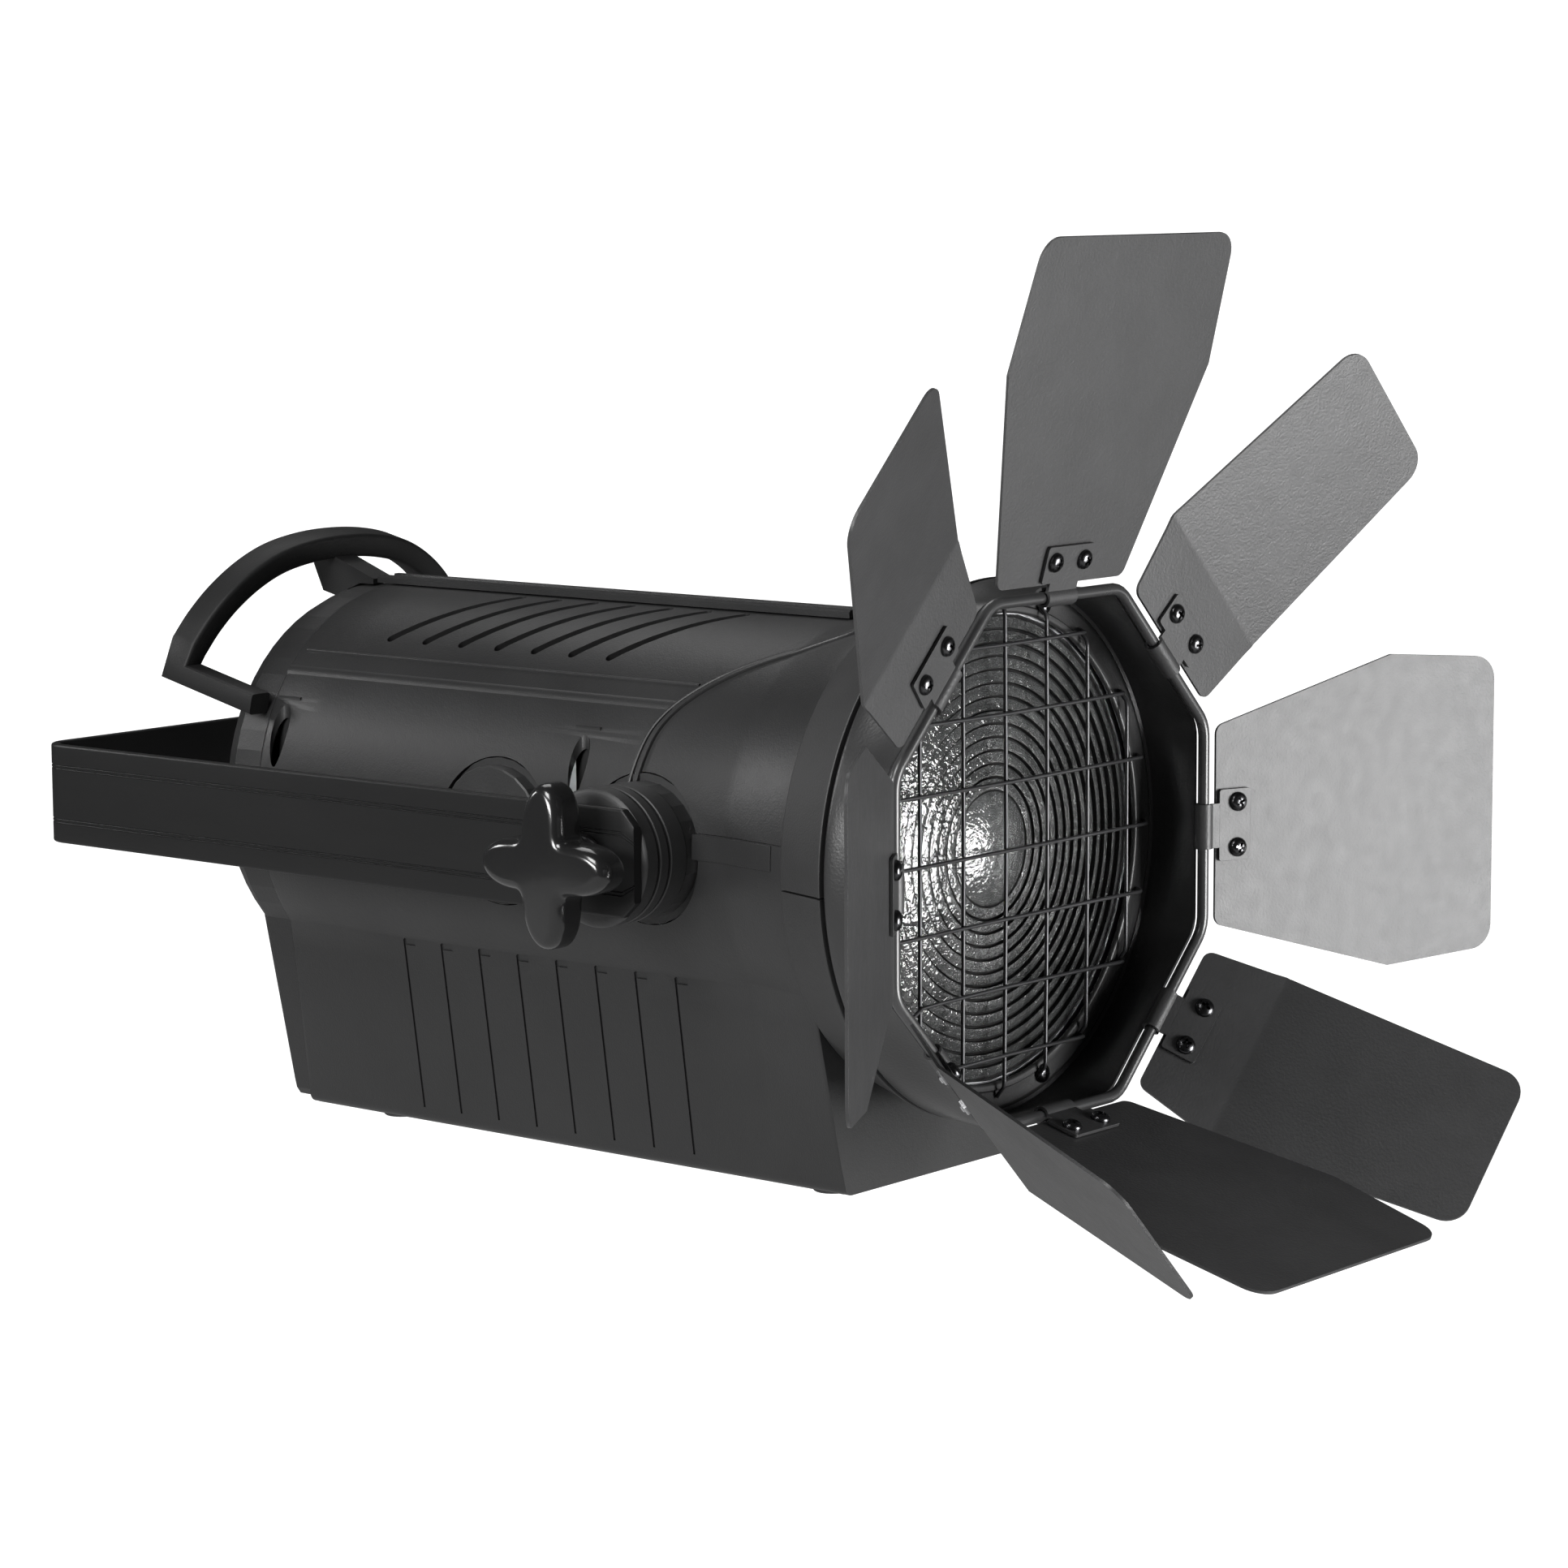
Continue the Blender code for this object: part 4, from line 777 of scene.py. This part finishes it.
def add_guard():
    wires = []
    for i in range(-3, 4):
        wires.append(guard_wire(i, True))
        wires.append(guard_wire(i, False))
    piece("guard_wires", merged(wires), GUARD, "barn_door", ("wire_guard",), 50)


# ---- lens


def add_lens():
    """Bullseye, then stepped rings whose faces lean out more towards the edge."""
    eye_r, eye_y, front = 0.0228, 0.0262, 0.0306
    profile = [(0.0, eye_y)]
    for i in range(1, 13):
        r = eye_r * i / 12
        profile.append((r, eye_y + 0.0052 * (r / eye_r) ** 2))
    for i in range(LENS_RINGS):
        inner = LENS_FIRST + LENS_STEP * i
        outer = inner + LENS_STEP - LENS_VALLEY
        lean = math.tan(math.radians(7.0 + 15.0 * (i + 0.5) / LENS_RINGS))
        profile.append((inner, front + 0.0002))
        for k in range(1, 5):
            share = k / 4
            across = (outer - inner) * share
            profile.append((inner + across, front + across * lean * (0.8 + 0.4 * share)))
        profile.append((outer + 0.0003, front + 0.0022))
        profile.append((outer + 0.0010, front + 0.0021))
    profile += [(0.0914, 0.0328), (0.0942, 0.0330), (0.0942, 0.0406), (0.0, 0.0406)]
    lens = turned(profile, "Y", at(0, 0, 0), 256)
    piece("lens_moulding", lens, GLASS, "housing", ("lens",), 24)


# ---- tilt knobs and pivots


KNOB_STEPS = 144


def knob_stations():
    """Depth, inset from the outline, share of the outline and dome height of the rings of a knob."""
    back_edge, front_edge = 0.0032, 0.0050
    back_inset, front_inset, dome = 0.0030, 0.0040, 0.0024
    turns = [math.pi / 2 * k / 7 for k in range(8)]
    rings = [(0.1288, back_inset, share, 0) for share in (0.05, 0.5)]
    rings += [(0.1320 - back_edge * math.cos(t), back_inset * (1 - math.sin(t)), 1.0, 0) for t in turns]
    rings += [(0.1378 + front_edge * math.sin(t), front_inset * (1 - math.cos(t)), 1.0, dome) for t in turns]
    rings += [(0.1428, front_inset, share, dome) for share in (0.93, 0.8, 0.65, 0.5, 0.35, 0.2, 0.05)]
    return rings


def knob_outline():
    """The four-lobe outline and its outward normals, as two lists of pairs."""
    outline = []
    for i in range(KNOB_STEPS):
        angle = 2 * math.pi * i / KNOB_STEPS + math.radians(3)
        radius = 0.0238 + 0.0082 * math.cos(4 * angle)
        outline.append(Vector((radius * math.cos(angle), radius * math.sin(angle))))
    normals = []
    for i in range(KNOB_STEPS):
        run = (outline[(i + 1) % KNOB_STEPS] - outline[i - 1]).normalized()
        normals.append(Vector((run.y, -run.x)))
    return outline, normals


NECK = ((0.0, 0.1199), (0.0062, 0.1199), (0.0080, 0.1203), (0.0084, 0.1215), (0.0080, 0.1240),
        (0.0098, 0.1262), (0.0, 0.1264))
STUD = ((0.0, 0.0742), (0.0042, 0.0742), (0.0048, 0.0748), (0.0048, 0.1200), (0.0, 0.1200))
WASHER = ((0.0051, 0.1174), (0.0095, 0.1174), (0.0097, 0.1177), (0.0097, 0.1192), (0.0093, 0.1197),
          (0.0051, 0.1197))


def on_pivot(profile, side, steps):
    """A profile turned about the tilt axis, on one side of the housing."""
    return turned([(r, side * x) for r, x in profile], "X", at(0, PIVOT_Y, 0), steps)


def add_knobs():
    """Four-lobe knobs with rounded edges and a low dome, and the studs and washers behind them."""
    outline, normals = knob_outline()
    for name, side in (("left", -1), ("right", 1)):
        rings = []
        for x, inset, share, dome in knob_stations():
            spots = [(here - normal * inset) * share for here, normal in zip(outline, normals)]
            ring = []
            for spot in spots:
                height = x + dome * (1 - (spot.length / 0.032) ** 2)
                ring.append(at(side * height, PIVOT_Y + spot.x, spot.y))
            rings.append(ring)
        body = f"knob_{name}"
        piece(f"knob_{name}_grip", loft(rings), KNOB, body, (f"tilt_knob_{name}",), 60)
        shapes = [on_pivot(profile, side, 48) for profile in (NECK, STUD)]
        piece(f"knob_{name}_stud", merged(shapes), STEEL, body, (), 35)
        piece(f"knob_{name}_washer", on_pivot(WASHER, side, 48), WIRE, body, (), 35)


def add_discs():
    """Spacer discs between the housing and the yoke's arms: three ribs with grooves between them."""
    rim, low, ease = 0.0270, 0.0244, 0.0004
    profile = [(0.0053, 0.0889), (rim - ease, 0.0889), (rim, 0.0893)]
    for y in (0.0976, 0.1037):
        profile += [(rim, y), (rim - ease, y + 0.0004), (low + 0.0002, y + 0.0005), (low, y + 0.0008),
                    (low, y + 0.0014), (low + 0.0002, y + 0.0017), (rim - ease, y + 0.0018),
                    (rim, y + 0.0022)]
    profile += [(rim, 0.1116), (rim - ease, 0.1121), (0.0256, 0.1125), (0.0240, 0.1127), (0.0053, 0.1127)]
    for name, side in (("left", -1), ("right", 1)):
        disc = on_pivot(profile, side, 120)
        piece(f"disc_{name}", disc, NYLON, "yoke", (f"yoke_disc_{name}",), 30)


# ---- yoke


def yoke_section():
    """Flat bar as (off the bar, height) pairs, with two fine grooves near each edge of its face."""
    half_t, half_h, groove = 0.0020, 0.0210, 0.0005
    edge = [(half_t, -half_h + 0.0011), (half_t - 0.0001, -half_h + 0.0006),
            (half_t - 0.0004, -half_h + 0.0002), (half_t - 0.0009, -half_h)]
    face = []
    for z in (-0.0122, -0.0108, 0.0108, 0.0122):
        face += [(half_t, z - 0.0004), (half_t - groove * 0.8, z - 0.0002), (half_t - groove, z),
                 (half_t - groove * 0.8, z + 0.0002), (half_t, z + 0.0004)]
    front = list(reversed(edge)) + face + [(a, -b) for a, b in edge]
    return front + [(-a, -b) for a, b in reversed(edge)] + [(-a, b) for a, b in edge]


def add_yoke():
    """The flat bar bent to a U, with rounded arm ends, pivot holes and three holes in its back bar."""
    arm_x, back_y, bend, arm_y = 0.1150, 0.4464, 0.0105, 0.1120
    ends = ((0.0, 0.70), (0.0005, 0.74), (0.0060, 0.99), (0.0070, 1.0), (0.060, 1.0), (0.20, 1.0))
    half_path = [((arm_x, arm_y + d), (1, 0), s) for d, s in ends]
    for a, b in arc(1.0, 0, 90, 14):
        half_path.append(((arm_x - bend + bend * a, back_y - bend + bend * b), (a, b), 1.0))
    path = half_path + [((-x, y), (-a, b), s) for (x, y), (a, b), s in reversed(half_path)]
    section = yoke_section()
    rings = [[at(x + a * off, y + b * off, z * s) for off, z in section] for (x, y), (a, b), s in path]
    holes = [bore(0.0054, -0.13, 0.13, "X", at(0, PIVOT_Y, 0), 48)]
    holes.append(bore(0.0062, 0.43, 0.46, "Y", at(0, 0, 0), 48))
    holes += [bore(0.0044, 0.43, 0.46, "Y", at(x, 0, 0), 32) for x in (-0.045, 0.045)]
    mesh = carve(loft(rings), merged(holes))
    piece("yoke_strap", mesh, YOKE, "yoke", ("yoke_bar",), 30)


# ---- housing


def shell_radius(y):
    """Outer radius of the housing: flared at the front, straight behind."""
    if y >= CONE_Y1:
        return SHELL_R
    return FRONT_R + (SHELL_R - FRONT_R) * (y - SHELL_Y0) / (CONE_Y1 - SHELL_Y0)


def pivot_bores():
    """Cutters for the round seats of the pivot blocks and caps, two a side."""
    return merged([bore(PIVOT_BORE_R, side * 0.060, side * 0.100, "X", at(0, y, 0), 96)
                   for side in (-1, 1) for y in (PIVOT_Y, SPARE_Y)])


def degrees_at(z, radius):
    """Angle from +X at which a round of this radius reaches a height."""
    return math.degrees(math.asin(z / radius))


def shell_rings():
    return [(y, r or shell_radius(y)) for y, r in SHELL_RINGS]


def slot_shape(y_top, side, wide=0.0021, out=0.0935, deep=0.0795):
    """One slanted vent slot with round ends, following the round of the shell."""
    top, low, run = math.radians(83.0), math.radians(52.5), 0.040
    slant = math.atan2(run, SHELL_R * (top - low))
    length = math.hypot(run, SHELL_R * (top - low))
    stations = []
    for i in range(9):
        a = math.pi / 2 * i / 8
        stations.append((wide * (1 - math.cos(a)) / length, math.sin(a)))
    stations[0] = (0.0, 0.12)
    stations += [(s, 1.0) for s in (0.2, 0.35, 0.5, 0.65, 0.8)]
    stations += [(1 - s, w) for s, w in reversed(stations[:9])]
    rings = []
    for share, width in stations:
        turn, y = top + (low - top) * share, y_top + run * share
        off_y, off_turn = wide * width * math.cos(slant), wide * width * math.sin(slant) / SHELL_R
        ring = []
        for radius, sign in ((out, 1), (out, -1), (deep, -1), (deep, 1)):
            angle = turn + sign * off_turn
            ring.append(at(side * radius * math.cos(angle), y + sign * off_y, radius * math.sin(angle)))
        rings.append(ring)
    return loft(rings)


def upper_shell():
    """Half-round shell with seven slots a side, two screw pockets a side, and seats for the pivots."""
    split = SPLIT_Z + 0.0002
    rings = []
    for y, r in shell_rings():
        low, low_in = degrees_at(split, r), degrees_at(split, r - SHELL_WALL)
        outline = arc(r, low, 180 - low, 120) + arc(r - SHELL_WALL, 180 - low_in, low_in, 120)
        rings.append([at(x, y, z) for x, z in outline])
    slots = [slot_shape(0.1430 + 0.0202 * i, side) for i in range(7) for side in (-1, 1)]
    mesh = carve(loft(rings), merged(slots))
    posts, pockets = [], []
    for side in (-1, 1):
        for y in (0.173, 0.340):
            pockets.append(bore(0.0045, 0.0125, 0.060, "Z", at(side * 0.080, y, 0), 40))
            low = (side * 0.0700 - 0.0045, y - 0.0065, 0.0105)
            high = (side * 0.0700 + 0.0045, y + 0.0065, 0.0445)
            posts.append(box(low, high))
    mesh = carve(mesh, merged(posts), "UNION")
    mesh = carve(mesh, merged(pockets))
    mesh = carve(mesh, pivot_bores())
    piece("shell_top", mesh, CAST, "housing", ("upper_shell",), 32)


# Line where the cowl meets the round shell: degrees from +X over the top, and depth
SEAM = ((90.0, 0.0640), (100.0, 0.0662), (110.0, 0.0726), (118.7, 0.0952), (128.3, 0.114), (136.1, 0.126),
        (143.0, 0.134), (150.2, 0.1386), (161.9, 0.1412), (172.0, 0.1418))


def on_shell(angle, y, lift):
    r = shell_radius(y) + lift
    a = math.radians(angle)
    return at(r * math.cos(a), y, r * math.sin(a))


def raised_strip(path, profile):
    """A strip that hugs the shell along (angle, y) pairs, its profile given as (sideways, lift)."""
    rings = []
    for i, (angle, y) in enumerate(path):
        a0, y0 = path[max(i - 1, 0)]
        a1, y1 = path[min(i + 1, len(path) - 1)]
        run = Vector((math.radians(a1 - a0) * SHELL_R, y1 - y0)).normalized()
        normal = Vector((-run.y, run.x))
        ring = []
        for sideways, lift in profile:
            turn = angle + math.degrees(normal.x * sideways / SHELL_R)
            ring.append(on_shell(turn, y + normal.y * sideways, lift))
        rings.append(ring)
    return loft(rings)


def seam_path(side):
    points = smoothed([Vector((a, y)) for a, y in SEAM], 10)
    return [(p.x if side < 0 else 180 - p.x, p.y) for p in points]


def add_shell_lip():
    """The cowl's double lip."""
    low = ((-0.0013, -0.0004), (-0.0012, 0.0007), (-0.0009, 0.0011), (0.0009, 0.0011), (0.0012, 0.0007),
           (0.0013, -0.0004))
    high = ((-0.0009, -0.0004), (-0.0007, 0.0006), (-0.0003, 0.0009), (0.0003, 0.0009), (0.0007, 0.0006),
            (0.0009, -0.0004))
    strips = []
    for side in (-1, 1):
        path = seam_path(side)
        strips.append(raised_strip(path, low))
        strips.append(raised_strip([(a, y + 0.0033) for a, y in path], high))
    piece("shell_lip", merged(strips), CAST, "housing", (), 40)


def add_shell_lines():
    """The edges of the raised vent panel, two beads a side."""
    lines = []
    for side in (-1, 1):
        for angle, rise, wide, start in ((133.5, 0.0008, 0.0009, 0.128), (140.5, 0.0005, 0.0028, 0.132)):
            turn = angle if side < 0 else 180 - angle
            run = [(turn, start + 0.0216 * k) for k in range(11)]
            flank = rise * 0.8
            bead = ((-wide, -0.0003), (-wide * 0.5, flank), (0.0, rise), (wide * 0.5, flank), (wide, -0.0003))
            lines.append(raised_strip(run, bead))
    piece("shell_lines", merged(lines), CAST, "housing", (), 60)


def add_side_strips():
    """The flat strip low on each side of the cowl."""
    bars = []
    for side in (-1, 1):
        rings = []
        for y in (0.0664, 0.0800, CONE_Y1, 0.1096):
            r = shell_radius(y) + 0.0005
            section = ((r, -0.0011), (r, 0.0040), (r, 0.0086), (r - 0.004, 0.0086), (r - 0.004, -0.0011))
            rings.append([at(side * math.sqrt(q**2 - z**2), y, z) for q, z in section])
        bars.append(loft(rings))
    piece("side_strips", merged(bars), CAST, "housing", (), 40, 0.0002)


def add_vent_fins():
    """Plates behind the slots."""
    fins = []
    for side in (-1, 1):
        for start, end in ((49.5, 61.0), (63.5, 66.5), (69.5, 72.5), (75.5, 86.5)):
            outline = arc(0.0832, start, end, 8) + arc(0.0812, end, start, 8)
            fins.append(loft([[at(side * x, y, z) for x, z in outline] for y in (0.138, 0.312)]))
    piece("vent_fins", merged(fins), CAST_DARK, "housing", (), 40)


def wall_x(z, radius=SHELL_R):
    """Half width of the flat sides at a height."""
    shoulder_x = math.sqrt(radius**2 - SHOULDER_Z**2)
    return BOTTOM_HALF + (shoulder_x - BOTTOM_HALF) * (z - BOTTOM_Z) / (SHOULDER_Z - BOTTOM_Z)


def lower_section(radius):
    """Half outline, x > 0, from the split down the round, then the flat side to the rounded bottom corner."""
    points = arc(radius, degrees_at(SPLIT_Z, radius), degrees_at(SHOULDER_Z, radius), 30)
    points += [(wall_x(z, radius), z) for z in (-0.062, -0.080, -0.100, -0.118)]
    corner = 0.0040
    points += [(BOTTOM_HALF + 0.0006 - corner + x, BOTTOM_Z + corner + z) for x, z in arc(corner, 0, -90, 6)]
    return points


def mirrored(half, y):
    """A closed ring at one depth from its half with x > 0."""
    return [at(x, y, z) for x, z in half + [(-x, z) for x, z in reversed(half)]]


def side_groove(side, y, low, high, half, deep):
    """Cutter for an upright groove in a flat side."""
    ring = []
    for z in (low, high):
        x = side * wall_x(z)
        inner, outer = x - side * deep, x + side * 0.004
        corners = ((inner, y - half), (outer, y - half), (outer, y + half), (inner, y + half))
        ring.append([at(a, b, z) for a, b in corners])
    return loft(ring)


def lower_shell():
    """Round at the top, flat tapering sides with eight grooves each, open at the top, front and back."""
    mesh = loft([mirrored(lower_section(r), y) for y, r in shell_rings()])
    hollow = []
    inner = SHELL_R - SHELL_WALL
    for y, r in ((0.0603, FRONT_R - 0.0032), (CONE_Y1, inner), (SHELL_Y1 + 0.004, inner)):
        half = arc(r, degrees_at(0.02, r), degrees_at(SHOULDER_Z, r), 30)
        half += [(BOTTOM_HALF - 0.0020, BOTTOM_Z + 0.006), (BOTTOM_HALF - 0.0022, BOTTOM_Z - 0.004)]
        hollow.append(mirrored(half, y))
    mesh = carve(mesh, loft(hollow))
    mesh = carve(mesh, bore(0.0860, 0.0523, 0.0633, "Y", at(0, 0, 0), 128))
    mesh = carve(mesh, pivot_bores())
    places = [(side, 0.1335 + 0.0211 * i) for side in (-1, 1) for i in range(8)]
    lines = [side_groove(side, y, -0.1248, -0.0524, 0.00055, 0.0008) for side, y in places]
    hooks = [side_groove(side, y - 0.0030, -0.0548, -0.0520, 0.0030, 0.0006) for side, y in places]
    mesh = carve(mesh, merged(lines))
    mesh = carve(mesh, merged(hooks))
    piece("shell_bottom", mesh, CAST, "housing", ("lower_shell",), 32)


def add_collar():
    """Band round the lens opening, in two halves that meet low on the sides."""
    profile = [(0.0948, 0.0308), (0.1048, 0.0308), (0.1054, 0.0310), (0.1056, 0.0314), (0.1054, 0.0320),
               (0.1046, 0.0332), (0.0980, 0.0552), (0.0974, 0.0562), (0.0964, 0.0569), (0.0880, 0.0570),
               (0.0880, 0.0412), (0.0948, 0.0412)]
    mesh = turned(profile, "Y", at(0, 0, 0), 192)
    split = [box((x - 0.012, 0.020, -0.0068), (x + 0.012, 0.070, -0.0060)) for x in (-0.100, 0.100)]
    mesh = carve(mesh, merged(split))
    piece("collar_band", mesh, COLLAR, "housing", ("front_collar",), 30)


def handle_frames():
    """Centre, across and along of the handle's section, from one leg's end over the arch to the other's."""
    lean = math.radians(13.0)
    down = Vector((0, math.sin(lean), -math.cos(lean)))
    back = Vector((0, math.cos(lean), math.sin(lean)))
    top = at(0, 0.3850, 0.1068) + down * 0.0055
    arch = [(0.0180, 0.0010), (0.0355, 0.0045), (0.0500, 0.0110), (0.0625, 0.0200), (0.0720, 0.0300),
            (0.0788, 0.0400)]
    knots = [Vector((-x, d)) for x, d in reversed(arch)] + [Vector((0, 0))] + [Vector(p) for p in arch]
    path = smoothed(knots, 6)
    frames = []
    for i, p in enumerate(path):
        before, after = path[max(i - 1, 0)], path[min(i + 1, len(path) - 1)]
        run = Vector((after.x - before.x, 0, 0)) + down * (after.y - before.y)
        frames.append((top + Vector((p.x, 0, 0)) + down * p.y, run.cross(back).normalized(), back))
    for side in (-1, 1):
        out = Vector((side, 0, 0))
        corner = top + out * 0.0814 + down * 0.0505
        end = corner - back * ((corner.y - RIM_Y - SHELL_Y1 - 0.0015) / back.y)
        flat = down * (0.0045 / 0.0070)
        leg = [(end, out, flat), (corner, out, back + flat)]
        frames = leg + frames if side < 0 else frames + leg[::-1]
    return frames


def add_handle():
    """Smooth leaning hoop with eased edges, two square legs and the gusset to its crown."""
    half_a, half_b, ease = 0.0052, 0.0070, 0.0017
    section = []
    for sx, sy, start in ((1, -1, -90), (1, 1, 0), (-1, 1, 90), (-1, -1, 180)):
        for x, y in arc(ease, start, start + 90, 3):
            section.append((sx * (half_a - ease) + x, sy * (half_b - ease) + y))
    rings = [[c + across * a + along * b for a, b in section] for c, across, along in handle_frames()]
    hoop = loft(rings)
    arm = [(0.3900, 0.0995), (0.3575, 0.0876), (0.3575, 0.0853), (0.3655, 0.0853), (0.3728, 0.0825),
           (0.3750, 0.0780), (0.3880, 0.0810), (0.3935, 0.0925)]
    gusset = loft([[at(x, y, z) for y, z in arm] for x in (-0.0060, 0.0060)])
    mesh = carve(hoop, gusset, "UNION")
    piece("handle_hoop", mesh, HANDLE, "housing", ("carry_handle",), 34)


add_leaves()
add_handle()
add_hood()
add_rim_wire()
add_guard()
add_lens()
add_knobs()
add_discs()
add_yoke()
upper_shell()
lower_shell()
add_shell_lip()
add_shell_lines()
add_side_strips()
add_vent_fins()
add_collar()

# ---- finishes of the CAD nodes that stay

FINISH = {
    CAST: ("upper_shell", "lower_shell", "carry_handle", "rear_cover", "base_plate", "top_rail"),
    COLLAR: ("front_collar",),
    NYLON: ("pivot_block_left", "pivot_block_right", "pivot_cap_left", "pivot_cap_right", "yoke_disc_left",
            "yoke_disc_right"),
    ALLOY: ("lens_ring", "power_supply", "led_plate", "heatsink"),
    STEEL: ("guide_rod_left", "guide_rod_right", "focus_screw"),
    RUBBER: ("foot_front_left", "foot_front_right", "foot_rear_left", "foot_rear_right"),
    CONTROL: ("focus_knob", "dimmer_knob", "power_switch", "mains_inlet", "fan_frame", "fan_rotor"),
    KNOB: ("tilt_knob_left", "tilt_knob_right"),
    YOKE: ("yoke_bar",),
    HOOD: ("barn_hood",),
    WIRE: ("rim_wire",),
    GUARD: ("wire_guard",),
    GLASS: ("lens",),
    BOARD: ("driver_board",),
    PHOSPHOR: ("led_emitter",),
    LEAF: tuple(n for n in nodes if n.startswith("leaf_") or n.startswith("clip_")),
}
for finish, names in FINISH.items():
    for name in names:
        nodes[name].data.materials.clear()
        nodes[name].data.materials.append(finish)

scene.view_settings.view_transform = "Standard"
